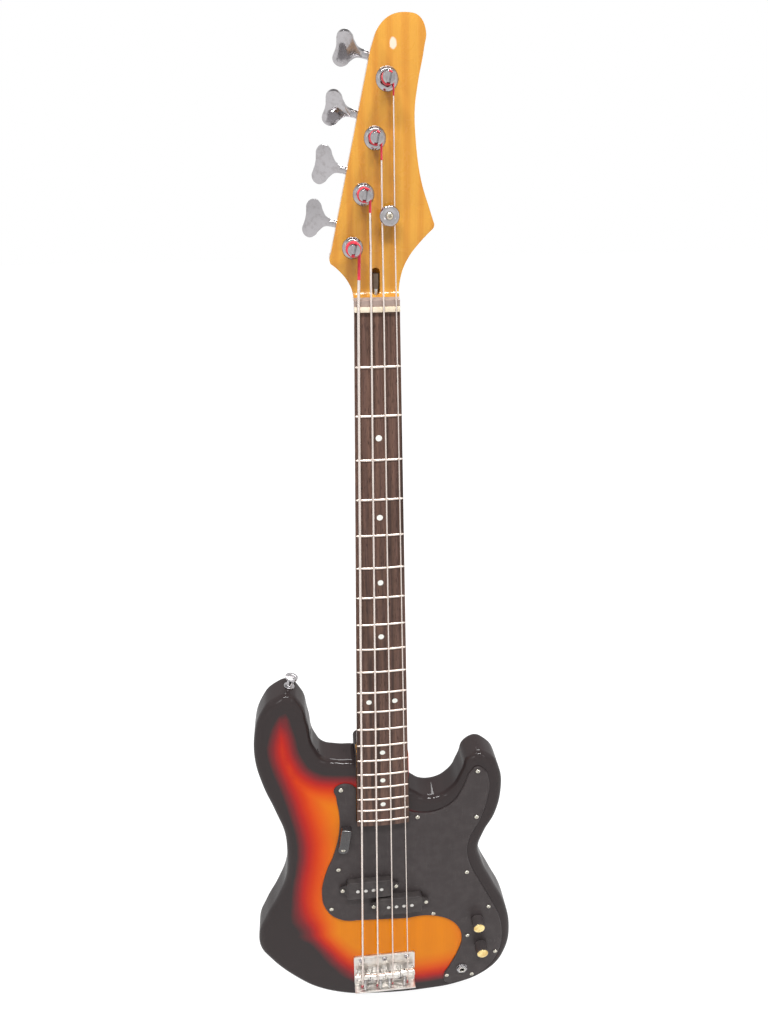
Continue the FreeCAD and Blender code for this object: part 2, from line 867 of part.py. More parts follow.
def nut_slot_box(gap):
    depth_y = -board_thickness + nut_slot_depth_in_board
    low = vector(-half_nut - overrun, depth_y - board_thickness * 2, -gap)
    high = vector(half_nut + overrun, depth_y, nut_length + gap)
    return box_between(low, high)


def make_fingerboard():
    board = board_solid(0, 0)
    slots = [fret_ring(number, fret_tang_width + seat_gap * 2, overrun, fret_tang_depth + seat_gap,
                       fret_half_angle(number, -overrun)) for number in range(1, fret_count + 1)]
    holes = []
    for place in dot_places():
        start = vector(place.x, -board_thickness + crown_drop(place.x) + dot_thickness + seat_gap, place.z)
        holes.append(Part.makeCylinder(dot_diameter / 2 + seat_gap, overrun * 2, start, forward))
    return cut_all(board, [ramp_cutter(), nut_slot_box(0)] + slots + holes + [truss_slot()])


def string_level(name, below_nut):
    """The string's centre over the board, on a straight line from the nut to the saddle."""
    x_nut = string_x(name, 0)
    x_saddle = string_x(name, scale_length)
    nut_y = fret_top - string_height_over_frets_at_nut + crown_drop(x_nut)
    saddle_y = fret_top - string_height_over_frets_at_saddle + crown_drop(x_saddle)
    return nut_y + (saddle_y - nut_y) * below_nut / scale_length


def make_nut():
    low_y = -board_thickness + nut_slot_depth_in_board
    top_y = fret_top - string_height_over_frets_at_nut - nut_rise_over_string
    blank = box_between(vector(-half_nut, top_y - overrun, seat_gap),
                        vector(half_nut, low_y, nut_length - seat_gap))
    roll = Part.makeCylinder(board_radius, nut_length + overrun * 2,
                             vector(0, top_y + board_radius, -overrun), upward)
    nut = blank.common(roll)
    for name in string_names:
        nut = nut.cut(nut_string_slot(name))
    return nut


def nut_string_slot(name):
    """The slot that a string lies in, following its underside over the nut."""
    route = string_points(name)
    radius = string_diameters[name] / 2 + nut_slot_gap
    bend = route[2]
    bottom = [string_run_point(route[1], bend, -overrun), bend,
              string_run_point(bend, route[3], nut_length + overrun)]
    x = string_x(name, 0)
    points = [vector(x - radius, point.y + radius, point.z) for point in bottom]
    points += [vector(x - radius, fret_top - overrun * 2, bottom[2].z),
               vector(x - radius, fret_top - overrun * 2, bottom[0].z)]
    return prism(points, across * (radius * 2))


def string_run_point(start, end, z):
    share = (z - start.z) / (end.z - start.z)
    return start + (end - start) * share


# Strings

def head_frame():
    """The tuners' line: its start, its direction up the edge and the way in from the edge."""
    low = head_point(head_edge_low_share, 0)
    high = head_point(head_edge_top_share, 0)
    along = (high - low)
    length = along.Length
    along.normalize()
    inward = vector(along.z, 0, -along.x)
    return low, along, inward, length


def post_place(name):
    low, along, inward, length = head_frame()
    step = string_names.index(name)
    reach = length * (first_post_share + post_pitch_share * step)
    return low + along * reach + inward * post_inset


def winding_radius(name):
    return post_waist_radius + free_gap + string_diameters[name] / 2


def winding_start_level(name):
    flange_top = head_face - bushing_flange_thickness
    return flange_top - free_gap - post_foot_height - winding_lifts[name] - string_diameters[name] / 2


def saddle_place(name):
    below = scale_length + saddle_setbacks[name]
    return vector(string_x(name, below), string_level(name, below), -below)


def string_anchor(name):
    """Where the string leaves the bridge's rear wall."""
    return vector(string_x(name, bridge_rear), body_face - string_hole_height, -bridge_rear)


def string_points(name):
    """The corners of a string's straight runs, from the bridge's rear wall to the post."""
    anchor = string_anchor(name)
    saddle = saddle_place(name)
    nut = vector(string_x(name, 0), string_level(name, 0), nut_break)
    post = post_place(name)
    end = vector(post.x + winding_radius(name), winding_start_level(name), post.z)
    points = [anchor, saddle, nut]
    if name in ("d", "g"):
        under = head_face - tree_height + string_diameters[name] / 2 + seat_gap
        slope = (under - nut.y) / (tree_place[1] - nut.z)
        level = under + slope * tree_diameter / 2
        share = (tree_place[1] - nut.z) / (end.z - nut.z)
        points.append(vector(nut.x + (end.x - nut.x) * share, level, tree_place[1]))
    points.append(end)
    return points


def saddle_bend_radius(name):
    return saddle_diameter / 2 - saddle_groove_depth + string_diameters[name] / 2 + seat_gap


def bend_arc(before, corner, after, radius):
    """The two tangent points and the middle of an arc that rounds a corner."""
    back = (before - corner).normalize()
    on = (after - corner).normalize()
    half = back.getAngle(on) / 2
    tangent = radius / math.tan(half)
    inside = (back + on).normalize()
    middle = corner + inside * (radius / math.sin(half) - radius)
    return corner + back * tangent, middle, corner + on * tangent


def biarc_edges(start, start_way, end, end_way):
    """Two arcs that leave start along start_way and meet end along end_way without a corner."""
    chord = end - start
    total = start_way + end_way
    bend = 4 - total.dot(total)
    forward_share = chord.dot(total)
    square = chord.dot(chord)
    reach = square / (forward_share + math.sqrt(forward_share ** 2 + bend * square))
    first = start + start_way * reach
    second = end - end_way * reach
    joint = (first + second) * 0.5
    return [corner_arc(start, first, joint), corner_arc(joint, second, end)]


def corner_arc(start, corner, end):
    """The arc that touches both legs of an even corner at its ends."""
    back = start - corner
    on = end - corner
    leg = back.Length
    half = back.getAngle(on) / 2
    if math.cos(half) < flat_limit:
        return line_edge(start, end)
    inside = (back.normalize() + on.normalize()).normalize()
    radius = leg * math.tan(half)
    middle = corner + inside * (radius / math.sin(half) - radius)
    return arc_edge(start, middle, end)


def helix_point(post, radius, start_y, pitch, turns):
    angle = 2 * math.pi * turns
    x = post.x + radius * math.cos(angle)
    z = post.z + radius * math.sin(angle)
    return vector(x, start_y - pitch * turns, z)


def helix_way(radius, pitch, turns):
    angle = 2 * math.pi * turns
    rise = pitch / (2 * math.pi * radius)
    return vector(-math.sin(angle), -rise, math.cos(angle)).normalize()


def string_route(name):
    """The string's centre line: straight runs, rounded bends and the turns on the post."""
    points = string_points(name)
    radii = [saddle_bend_radius(name), nut_bend_radius, tree_bend_radius]
    edges = []
    here = points[0]
    for index in range(1, len(points) - 1):
        first, middle, last = bend_arc(points[index - 1], points[index], points[index + 1],
                                       radii[index - 1])
        edges.append(line_edge(here, first))
        edges.append(arc_edge(first, middle, last))
        here = last
    edges.append(line_edge(here, points[-1]))
    way = (points[-1] - points[-2]).normalize()
    post = post_place(name)
    radius = winding_radius(name)
    pitch = string_diameters[name] + winding_gap
    start_y = points[-1].y
    here = points[-1]
    turns = 0
    while turns < winding_turns[name] - turn_step_share / 2:
        turns += turn_step_share
        there = helix_point(post, radius, start_y, pitch, turns)
        there_way = helix_way(radius, pitch, turns)
        edges += biarc_edges(here, way, there, there_way)
        here, way = there, there_way
    edges.append(line_edge(here, here + way * string_diameters[name]))
    return edges


def cord(edges, start, way, radius, sides):
    """One tube with flat sides along a route that starts at a point in a direction."""
    corners = []
    for side in range(sides):
        angle = 2 * math.pi * side / sides
        corners.append(vector(radius * math.cos(angle), radius * math.sin(angle), 0))
    ring = set_along(Part.makePolygon(corners + [corners[0]]), start, way)
    return Part.Wire(edges).makePipeShell([Part.Wire(ring)], True, False)


def make_string(name):
    points = string_points(name)
    way = (points[1] - points[0]).normalize()
    return cord(string_route(name), points[0], way, string_diameters[name] / 2, cord_sides)


def print_winding_gap(name):
    """Prints the least gap between neighbouring turns, measured on points of the helix."""
    post = post_place(name)
    radius = winding_radius(name)
    pitch = string_diameters[name] + winding_gap
    steps = 24
    count = int(winding_turns[name] * steps) + 1
    points = [helix_point(post, radius, 0, pitch, step / steps) for step in range(count)]
    least = min((points[i] - points[j]).Length
                for i in range(count) for j in range(i + steps // 2, count))
    print("winding", name, "least gap %.2f mm" % (least - string_diameters[name]))


def make_string_ball(name):
    anchor = string_anchor(name)
    centre = anchor + vector(-ball_length / 2, 0, -(ball_gap + ball_diameter / 2))
    return faceted([(ball_diameter / 2, 0), (ball_diameter / 2, ball_length)], centre, across)


# Body

def heel_pocket():
    top = board_end - pocket_length
    low = board_end + pocket_gap
    side = pocket_gap
    points = [
        vector(-half_neck(top) - side, body_face - overrun, -top + overrun * 2),
        vector(half_neck(top) + side, body_face - overrun, -top + overrun * 2),
        vector(half_neck(low) + side, body_face - overrun, -low),
        vector(-half_neck(low) - side, body_face - overrun, -low),
    ]
    return prism(points, backward * (heel_depth - body_face + overrun))


def heel_block():
    """The part of the body that reaches up round the neck's heel."""
    top = board_end - pocket_length
    low = top + block_end_length
    half_top = half_neck(top) + pocket_wall
    half_low = half_neck(low) + pocket_wall
    points = [
        vector(-half_top, body_face, -top),
        vector(half_top, body_face, -top),
        vector(half_low, body_face, -low),
        vector(-half_low, body_face, -low),
    ]
    block = prism(points, backward * body_thickness)
    corners = [edge for edge in block.Edges
               if edge.BoundBox.YLength > body_thickness / 2 and edge.BoundBox.ZMax > -(top + seat_gap)]
    block = block.makeFillet(block_corner_radius, corners)
    rims = [edge for edge in block.Edges
            if edge.BoundBox.YMin > body_back - seat_gap and edge.BoundBox.ZMin > -(low - seat_gap)]
    rims += [edge for edge in block.Edges
             if edge.BoundBox.YMin > body_back - seat_gap and edge.BoundBox.XLength < half_low
             and edge.BoundBox.ZLength > block_end_length / 2]
    return block.makeFillet(block_edge_radius, list({edge.hashCode(): edge for edge in rims}.values()))


def control_rout():
    """The wells of the potentiometers and the output jack, and the narrower way that joins them."""
    ends = (volume_shares, tone_shares, control_rout_end_shares)
    places = [body_point(shares, body_face - overrun) for shares in ends]
    depth = body_thickness - control_rout_floor + overrun
    shapes = [Part.makeCylinder(control_rout_radius, depth, place, backward) for place in places]
    for first, second in zip(places, places[1:]):
        way = (second - first).normalize()
        side = vector(way.z, 0, -way.x) * (control_rout_way_width / 2)
        shapes.append(prism([first + side, second + side, second - side, first - side], backward * depth))
    return join_all(shapes)


def pickup_below_nut(half):
    """The treble half lies just past the bass half, nearer the bridge."""
    bass = scale_length * bass_half_scale_share
    return bass if half == "bass" else bass + cover_width + halves_gap


def pickup_centre(half):
    offset = -bass_half_offset if half == "bass" else treble_half_offset
    return vector(offset, 0, -pickup_below_nut(half))


def pickup_rout(half):
    centre = pickup_centre(half)
    width = cover_length + pickup_rout_gap * 2
    length = cover_width + pickup_rout_gap * 2
    return rounded_slab(centre, width, length, cover_corner_radius, body_face - overrun,
                        pickup_rout_depth + overrun)


def wire_channel():
    """The channel from the treble pickup's rout to the control rout."""
    start = pickup_centre("treble")
    end = body_point(volume_shares, 0)
    way = (end - start).normalize()
    side = vector(way.z, 0, -way.x) * (control_rout_radius / 2)
    y = vector(0, body_face - overrun, 0)
    points = [start + side + y, end + side + y, end - side + y, start - side + y]
    return prism(points, backward * (pickup_rout_depth + overrun))


def make_body(holes):
    slab_solid = slab(smooth_loop(body_rim()), backward * body_thickness)
    rims = [edge for edge in slab_solid.Edges if edge.BoundBox.YLength < seat_gap]
    rounded = slab_solid.makeFillet(body_edge_radius, rims)
    body = rounded.fuse(heel_block()).removeSplitter()
    cutters = [heel_pocket(), control_rout(), pickup_rout("bass"), pickup_rout("treble"), wire_channel()]
    return cut_all(body, cutters + holes)


def neck_plate_centre():
    top = board_end - pocket_length
    return vector(0, 0, -(top + plate_start + plate_length / 2))


def neck_screw_seats():
    centre = neck_plate_centre()
    dx = plate_width / 2 - plate_screw_inset
    dz = plate_length / 2 - plate_screw_inset
    return [centre + vector(sx * dx, body_back + plate_thickness, sz * dz)
            for sx in (-1, 1) for sz in (-1, 1)]


def make_neck_plate():
    plate = rounded_slab(neck_plate_centre(), plate_width, plate_length, plate_corner_radius,
                         body_back, plate_thickness)
    return cut_all(plate, [countersink(neck_screw, seat, forward) for seat in neck_screw_seats()])


# Pickguard

def guard_screw_seats():
    return [body_point(share, guard_face) for share in guard_screw_shares]


def rest_frame():
    """The thumb rest's upper end on the pickguard and the way it runs down."""
    angle = math.radians(rest_tilt_deg)
    way = vector(-math.sin(angle), 0, -math.cos(angle))
    start = vector(-body_width * rest_side_share, guard_face, -(board_end + rest_past_neck))
    return start, way, vector(-way.z, 0, way.x)


def rest_screw_seat():
    start, way = rest_frame()[:2]
    reach = rest_length + rest_flange_length / 2
    return start + way * reach + forward * rest_flange_thickness


def pot_places():
    return {"volume": body_point(volume_shares, 0), "tone": body_point(tone_shares, 0)}


def pickup_ear_seats(half):
    centre = pickup_centre(half)
    y = cover_top(half) + cover_ear_drop
    return [centre + vector(side * cover_ear_reach, y, 0) for side in (-1, 1)]


def make_pickguard():
    blank = slab(guard_edges(body_face), forward * guard_thickness)
    face_edges = [edge for edge in blank.Edges if edge.BoundBox.YMax < guard_face + seat_gap]
    guard = blank.makeChamfer(guard_bevel, face_edges)
    cutters = []
    for half in ("bass", "treble"):
        cutters.append(rounded_slab(pickup_centre(half), cover_length + guard_cutout_gap * 2,
                                    cover_width + guard_cutout_gap * 2, cover_corner_radius,
                                    guard_face - overrun, guard_thickness + overrun * 2))
        cutters += [shank_hole(pickup_screw, seat, backward) for seat in pickup_ear_seats(half)]
    for place in pot_places().values():
        cutters.append(Part.makeCylinder(pot_bushing_diameter / 2 + seat_gap, guard_thickness * 3,
                                         place + backward * (guard_face - guard_thickness), backward))
    jack = body_point(jack_shares, guard_face - guard_thickness)
    cutters.append(Part.makeCylinder(jack_sleeve_diameter / 2 + seat_gap, guard_thickness * 3, jack, backward))
    cutters += [shank_hole(guard_screw, seat, backward) for seat in guard_screw_seats()]
    cutters.append(shank_hole(rest_screw, rest_screw_seat(), backward))
    return cut_all(guard, cutters)


def make_thumb_rest():
    """A rounded bar that lies on the pickguard, with a low flange for its screw."""
    start, way, side = rest_frame()
    half = rest_width / 2
    corners = [start - side * half, start + side * half, start + way * rest_length + side * half,
               start + way * rest_length - side * half]
    bar = prism(corners, forward * rest_height)
    bar = bar.makeFillet(rest_edge_radius, [edge for edge in bar.Edges
                                            if edge.BoundBox.YMin < guard_face - seat_gap])
    low = start + way * (rest_length - rest_edge_radius)
    tip = start + way * (rest_length + rest_flange_length / 2)
    flange = prism([low - side * half, low + side * half, tip + side * half, tip - side * half],
                   forward * rest_flange_thickness)
    end = Part.makeCylinder(half, rest_flange_thickness, tip, forward)
    rest = join_all([bar, flange, end])
    return rest.cut(shank_hole(rest_screw, rest_screw_seat(), backward))


# Pickups

def cover_top(half):
    """The cover's face lies a named distance under the string nearest to the neck's centre."""
    names = ("e", "a") if half == "bass" else ("d", "g")
    below = pickup_below_nut(half)
    lowest = max(string_level(name, below) + string_diameters[name] / 2 for name in names)
    return lowest + cover_top_under_string - pole_rise


def cover_ears(centre, y):
    """The two triangular ears of a cover, round at their screws."""
    root = cover_ear_root / 2
    radius = cover_ear_radius
    depth = backward * cover_ear_thickness
    shapes = []
    for side in (-1, 1):
        tip = centre + vector(side * cover_ear_reach, y, 0)
        base = centre + vector(side * (cover_length / 2 - cover_wall / 2), y, 0)
        shapes.append(Part.makeCylinder(radius, cover_ear_thickness, tip, backward))
        shapes.append(prism([base + vector(0, 0, root), tip + vector(0, 0, radius),
                             tip + vector(0, 0, -radius), base + vector(0, 0, -root)], depth))
    return shapes


def make_cover(half):
    centre = pickup_centre(half)
    top = cover_top(half)
    shell = rounded_slab(centre, cover_length, cover_width, cover_corner_radius, top, cover_height)
    shell = shell.makeChamfer(cover_bevel,
                              [edge for edge in shell.Edges if edge.BoundBox.YMax < top + seat_gap])
    inner = rounded_slab(centre, cover_length - cover_wall * 2, cover_width - cover_wall * 2,
                         cover_corner_radius - cover_wall, top + cover_wall, cover_height)
    cover = join_all([shell] + cover_ears(centre, top + cover_ear_drop)).cut(inner)
    holes = [shank_hole(pickup_screw, seat, backward) for seat in pickup_ear_seats(half)]
    return cut_all(cover, pole_holes(half) + holes)


def pole_places(half):
    centre = pickup_centre(half)
    places = []
    for string_side in (-1, 1):
        for side in (-1, 1):
            x = string_side * pole_string_pitch / 2 + side * pole_pitch / 2
            places.append(centre + vector(x, 0, 0))
    return places


def make_poles():
    poles = []
    for half in ("bass", "treble"):
        start = cover_top(half) - pole_rise
        poles += [Part.makeCylinder(pole_diameter / 2, pole_length, place + backward * start, backward)
                  for place in pole_places(half)]
    return Part.makeCompound(poles)


def pole_holes(half):
    return [faceted_hole(pole_diameter / 2 + seat_gap, pole_length * 2,
                         place + backward * (cover_top(half) - pole_rise * 2), backward)
            for place in pole_places(half)]


def bobbin_level(half):
    return cover_top(half) + cover_wall + seat_gap


def make_bobbin(half):
    """Two fibre plates that the poles hold apart, with the coil between them."""
    centre = pickup_centre(half)
    top = bobbin_level(half)
    low = top + bobbin_plate_thickness + coil_height
    plates = [rounded_slab(centre, bobbin_length, bobbin_width, cover_corner_radius, y, bobbin_plate_thickness)
              for y in (top, low)]
    return [cut_all(plate, pole_holes(half)) for plate in plates]


def make_coil(half):
    centre = pickup_centre(half)
    top = bobbin_level(half) + bobbin_plate_thickness
    coil = rounded_slab(centre, bobbin_length - coil_margin * 2, bobbin_width - coil_margin * 2,
                        cover_corner_radius, top, coil_height)
    return cut_all(coil, pole_holes(half))


def make_foam(half):
    """The pad that presses the pickup up from the floor of its rout."""
    centre = pickup_centre(half)
    low = bobbin_level(half) + bobbin_plate_thickness * 2 + coil_height + seat_gap
    pole_end = cover_top(half) - pole_rise + pole_length + seat_gap
    start = max(low, pole_end)
    floor = body_face + pickup_rout_depth - seat_gap
    return rounded_slab(centre, bobbin_length, bobbin_width, cover_corner_radius, start, floor - start)


# Controls

def make_pot_housing(place):
    """A potentiometer's can, with the threaded bushing that stands through the pickguard."""
    can_top = body_face
    bore = pot_shaft_diameter / 2 + running_gap
    radius = pot_can_diameter / 2
    outer = pot_bushing_diameter / 2
    profile = [(bore, -guard_thickness - pot_bushing_rise), (outer, -guard_thickness - pot_bushing_rise),
               (outer, 0), (radius, 0), (radius, pot_can_height), (0, pot_can_height),
               (0, pot_can_height / 2), (bore, pot_can_height / 2)]
    return turned(profile, place + backward * can_top, backward)


def make_pot_nut(place):
    """The hexagon nut and its washer, which hold the potentiometer to the pickguard."""
    seat = place + backward * guard_face
    washer = Part.makeCylinder(washer_diameter / 2, washer_thickness, seat, forward)
    nut = hexagon(pot_nut_across, pot_nut_height, seat + forward * washer_thickness, forward)
    bore = Part.makeCylinder(pot_bushing_diameter / 2 + seat_gap, guard_thickness * 4,
                             seat + backward * seat_gap, forward)
    return washer.fuse(nut).removeSplitter().cut(bore)


def make_pot_shaft(place):
    """The control's shaft, from inside the can to the knob's bore."""
    start = body_face + pot_can_height / 2 - seat_gap
    end = guard_face - knob_lift - knob_height + knob_shaft_cover
    return Part.makeCylinder(pot_shaft_diameter / 2, start - end, place + backward * start, forward)


def make_knob(place):
    """A domed knob with a bore for the shaft and a recess that clears the nut."""
    radius = knob_diameter / 2
    bore = pot_shaft_diameter / 2 + seat_gap
    recess = knob_recess_diameter / 2
    rim = knob_height - knob_dome
    bore_end = knob_height - knob_shaft_cover + seat_gap
    profile = [(0, bore_end), (bore, bore_end), (bore, knob_recess_depth), (recess, knob_recess_depth),
               (recess, 0), (radius, 0), (radius, rim)]
    profile += [(radius * share, knob_height - knob_dome * share ** 2) for share in knob_dome_shares]
    return turned(profile + [(0, knob_height)], place + backward * (guard_face - knob_lift), forward)


def make_capacitor():
    """The tone control's capacitor, which lies on the back of its can."""
    level = body_face + pot_can_height + free_gap + capacitor_diameter / 2
    start = pot_places()["tone"] + vector(-capacitor_length / 2, level, 0)
    return Part.makeCylinder(capacitor_diameter / 2, capacitor_length, start, across)


def make_jack():
    """The output jack: a sleeve through the pickguard, its frame and the tip's spring contact."""
    seat = body_point(jack_shares, guard_face)
    top = seat + forward * jack_sleeve_rise
    outer = jack_sleeve_diameter / 2
    sleeve = Part.makeCylinder(outer, jack_sleeve_length, top, backward)
    frame_y = body_face + jack_frame_thickness
    centre = body_point(jack_shares, 0)
    frame = rounded_slab(centre, jack_frame_width, jack_frame_width, jack_frame_thickness, body_face,
                         jack_frame_thickness)
    half = jack_frame_width / 2
    leg = box_between(centre + vector(-half, body_face, -jack_contact_offset),
                      centre + vector(-half + jack_frame_thickness, frame_y + jack_frame_depth,
                                      jack_contact_offset))
    foot = box_between(centre + vector(-half, frame_y + jack_frame_depth, -jack_contact_offset),
                       centre + vector(-jack_contact_offset, frame_y + jack_frame_depth + jack_frame_thickness,
                                       jack_contact_offset))
    blank = join_all([sleeve, frame, leg, foot])
    bore = Part.makeCylinder(jack_bore / 2, jack_sleeve_length * 2, top + forward * overrun, backward)
    return blank.cut(bore)


def make_jack_nut():
    seat = body_point(jack_shares, guard_face)
    washer = Part.makeCylinder(washer_diameter / 2 + washer_thickness, washer_thickness, seat, forward)
    nut = hexagon(jack_nut_across, jack_nut_height, seat + forward * washer_thickness, forward)
    bore = Part.makeCylinder(jack_sleeve_diameter / 2 + seat_gap, overrun * 2,
                             seat + backward * seat_gap, forward)
    return washer.fuse(nut).removeSplitter().cut(bore)


# Bridge

def bridge_screw_seats():
    seat_y = body_face - bridge_thickness
    front = -(bridge_front + bridge_screw_edge)
    rear = -(bridge_rear - bridge_screw_rear)
    seats = [vector(x * bridge_screw_reach, seat_y, front) for x in (-1, 0, 1)]
    seats += [vector(x * bridge_string_pitch, seat_y, rear) for x in (-1, 1)]
    return seats


def intonation_x(name):
    """Each intonation screw stands beside its string, on the side towards the centreline."""
    x = string_anchor(name).x
    return x - math.copysign(intonation_offset, x)


def intonation_level():
    return body_face - intonation_height


def make_bridge_plate():
    """One bent plate: a flat base under the saddles and a wall behind them."""
    half = bridge_width / 2
    front = -bridge_front
    rear = -bridge_rear
    top = body_face - bridge_wall_height
    points = [
        vector(-half, body_face, front), vector(-half, body_face - bridge_thickness, front),
        vector(-half, body_face - bridge_thickness, rear + bridge_thickness),
        vector(-half, top, rear + bridge_thickness), vector(-half, top, rear),
        vector(-half, body_face, rear),
    ]
    plate = prism(points, across * bridge_width)
    outer = [edge for edge in plate.Edges if edge.BoundBox.XLength > half
             and abs(edge.BoundBox.YMax - body_face) < seat_gap and edge.BoundBox.ZMax < rear + seat_gap]
    plate = plate.makeFillet(bridge_bend_radius, outer)
    inner = [edge for edge in plate.Edges if edge.BoundBox.XLength > half
             and edge.BoundBox.YLength < seat_gap
             and abs(edge.BoundBox.YMax - (body_face - bridge_thickness)) < seat_gap
             and abs(edge.BoundBox.ZMax - (rear + bridge_thickness)) < seat_gap]
    plate = plate.makeFillet(bridge_bend_radius - bridge_thickness, inner)
    corners = [edge for edge in plate.Edges
               if abs(edge.BoundBox.YLength - bridge_thickness) < seat_gap
               and edge.BoundBox.ZMin > front - seat_gap and edge.BoundBox.XLength < seat_gap]
    plate = plate.makeFillet(bridge_corner_radius, corners)
    cutters = []
    for name in string_names:
        points = string_points(name)
        middle = string_run_point(points[0], points[1], rear + bridge_thickness / 2)
        cutters.append(faceted_hole(string_diameters[name] / 2 + string_hole_gap, overrun * 2,
                                    middle + downward * overrun, upward))
        screw = vector(intonation_x(name), intonation_level(), rear - overrun)
        hole = saddle_screw_diameter / 2 + seat_gap
        cutters.append(faceted([(hole, 0), (hole, overrun * 3)], screw, upward))
    cutters += [shank_hole(bridge_screw, seat, backward) for seat in bridge_screw_seats()]
    return cut_all(plate, cutters)


def saddle_axis(name):
    """The barrel's axis lies under the string's bend, square to the strings."""
    points = string_points(name)
    middle = bend_arc(points[0], points[1], points[2], saddle_bend_radius(name))[1]
    inside = (middle - points[1]).normalize()
    return vector(points[1].x, middle.y + inside.y * saddle_bend_radius(name),
                  middle.z + inside.z * saddle_bend_radius(name))


def make_saddle(name):
    """A barrel with a groove for its string and holes for its three screws."""
    centre = saddle_axis(name)
    radius = saddle_diameter / 2
    half = saddle_length / 2
    groove = string_diameters[name] / 2 + saddle_groove_gap
    floor = radius - saddle_groove_depth
    barrel = turned([(0, -half), (radius, -half), (radius, -groove), (floor, -groove), (floor, groove),
                     (radius, groove), (radius, half), (0, half)], centre, across)
    hole_radius = saddle_screw_diameter / 2 + seat_gap
    cutters = []
    for side in (-1, 1):
        low = centre + vector(side * saddle_screw_reach, saddle_diameter, 0)
        cutters.append(faceted([(hole_radius, 0), (hole_radius, saddle_diameter * 2)], low, forward))
    hole = vector(intonation_x(name), intonation_level(), centre.z - saddle_diameter)
    cutters.append(faceted([(hole_radius, 0), (hole_radius, saddle_diameter * 2)], hole, upward))
    return cut_all(barrel, cutters)


def make_height_screws(name):
    """Two grub screws that stand on the plate and carry the barrel."""
    centre = saddle_axis(name)
    low = body_face - bridge_thickness
    high = centre.y - saddle_diameter / 2 - saddle_screw_rise
    radius = saddle_screw_diameter / 2
    return [faceted([(radius, 0), (radius, low - high)],
                    vector(centre.x + side * saddle_screw_reach, low, centre.z), forward)
            for side in (-1, 1)]


def make_intonation_screw(name):
    centre = saddle_axis(name)
    rear = -bridge_rear
    start = vector(intonation_x(name), intonation_level(), rear)
    length = centre.z + saddle_diameter / 2 - rear
    kind = (intonation_head_diameter, intonation_head_height, saddle_screw_diameter, length)
    return pan_screw(kind, start, upward)


def make_spring(name):
    """The coil spring that keeps a saddle away from the rear wall."""
    centre = saddle_axis(name)
    low = -bridge_rear + bridge_thickness + spring_wire / 2 + seat_gap
    high = centre.z - saddle_diameter / 2 - spring_wire / 2 - seat_gap
    x = intonation_x(name)
    y = intonation_level()
    pitch = (high - low) / spring_curls
    radius = spring_radius
    edges = []
    here = vector(x + radius, y, low)
    way = vector(0, 1, pitch / (2 * math.pi * radius)).normalize()
    start_way = vector(way.x, way.y, way.z)
    turns = 0
    while turns < spring_curls - turn_step_share / 2:
        turns += turn_step_share
        angle = 2 * math.pi * turns
        there = vector(x + radius * math.cos(angle), y + radius * math.sin(angle), low + pitch * turns)
        there_way = vector(-math.sin(angle), math.cos(angle), pitch / (2 * math.pi * radius)).normalize()
        edges += biarc_edges(here, way, there, there_way)
        here, way = there, there_way
    return cord(edges, vector(x + radius, y, low), start_way, spring_wire / 2, wire_sides)


# Strap buttons and string tree

def button_frames():
    return [rim_frame(horn_button_share), rim_frame(tail_button_share)]


def make_button(place, normal):
    """A turned button: a low foot, a waist that the strap lies on and a broad head."""
    neck = button_neck_diameter / 2
    head = button_head_diameter / 2
    bore = button_bore / 2
    rim_start = button_height - button_rim
    sink = button_screw_diameter
    profile = [(bore, 0), (button_base_diameter / 2, 0), (button_base_diameter / 2, button_base_height / 2),
               (neck, button_base_height), (neck, rim_start - button_rim / 2), (head, rim_start),
               (head, button_height), (sink, button_height), (bore, button_height - sink + bore)]
    return turned(profile, place, normal)


def button_screw():
    return (button_screw_diameter * 2 - seat_gap * 2, button_screw_diameter / 2, button_screw_diameter,
            button_screw_length)


def button_screw_seat(place, normal):
    return place + normal * button_height


def make_string_tree():
    """A dished disc on a stem, which holds the two thinner strings down."""
    x, z = tree_place
    foot = vector(x, head_face, z)
    stem = tree_stem_diameter / 2
    rim = tree_diameter / 2
    dish = tree_dish_diameter / 2
    bore = tree_screw[2] / 2 + seat_gap
    top = tree_height + tree_thickness
    profile = [(bore, 0), (stem, 0), (stem, tree_height), (rim - tree_dish_depth, tree_height),
               (rim, tree_height + tree_thickness / 2), (rim - tree_dish_depth, top), (dish, top),
               (tree_screw[0] / 2 + seat_gap, top - tree_dish_depth), (bore, top - tree_dish_depth)]
    return turned(profile, foot, forward)


def tree_screw_seat():
    x, z = tree_place
    return vector(x, tree_screw_level, z)


# Tuning machines, drawn about a post at the origin: inwards is +X, up the edge is +Z

def machine_placement(name):
    along = head_frame()[1]
    place = post_place(name)
    turn = math.degrees(math.atan2(along.x, along.z))
    return FreeCAD.Placement(vector(place.x, 0, place.z), FreeCAD.Rotation(backward, turn))


def placed(shape, name):
    moved = shape.copy()
    moved.Placement = machine_placement(name).multiply(shape.Placement)
    return moved


def gear_pitch_radius():
    return gear_module * gear_teeth / 2


def worm_offset():
    return gear_pitch_radius() + worm_pitch_radius


def worm_tip_radius():
    return worm_pitch_radius + gear_module * tooth_addendum_share


def worm_level():
    """The worm's axis lies just clear of the plate, behind the headstock."""
    return head_back + machine_plate_thickness + free_gap + worm_tip_radius()


def worm_lead():
    return math.pi * gear_module


def machine_screw_seats():
    side = machine_plate_half_width - machine_screw_inset
    low = -(machine_plate_low - machine_screw_inset)
    high = machine_plate_high - machine_screw_high_inset
    seat = head_back + machine_plate_thickness
    return [vector(x, seat, z) for x in (-side, side) for z in (low, high)]


def ear_places():
    gap = worm_length / 2 + ear_gap
    return [(-gap - ear_thickness, -gap), (gap, gap + ear_thickness)]


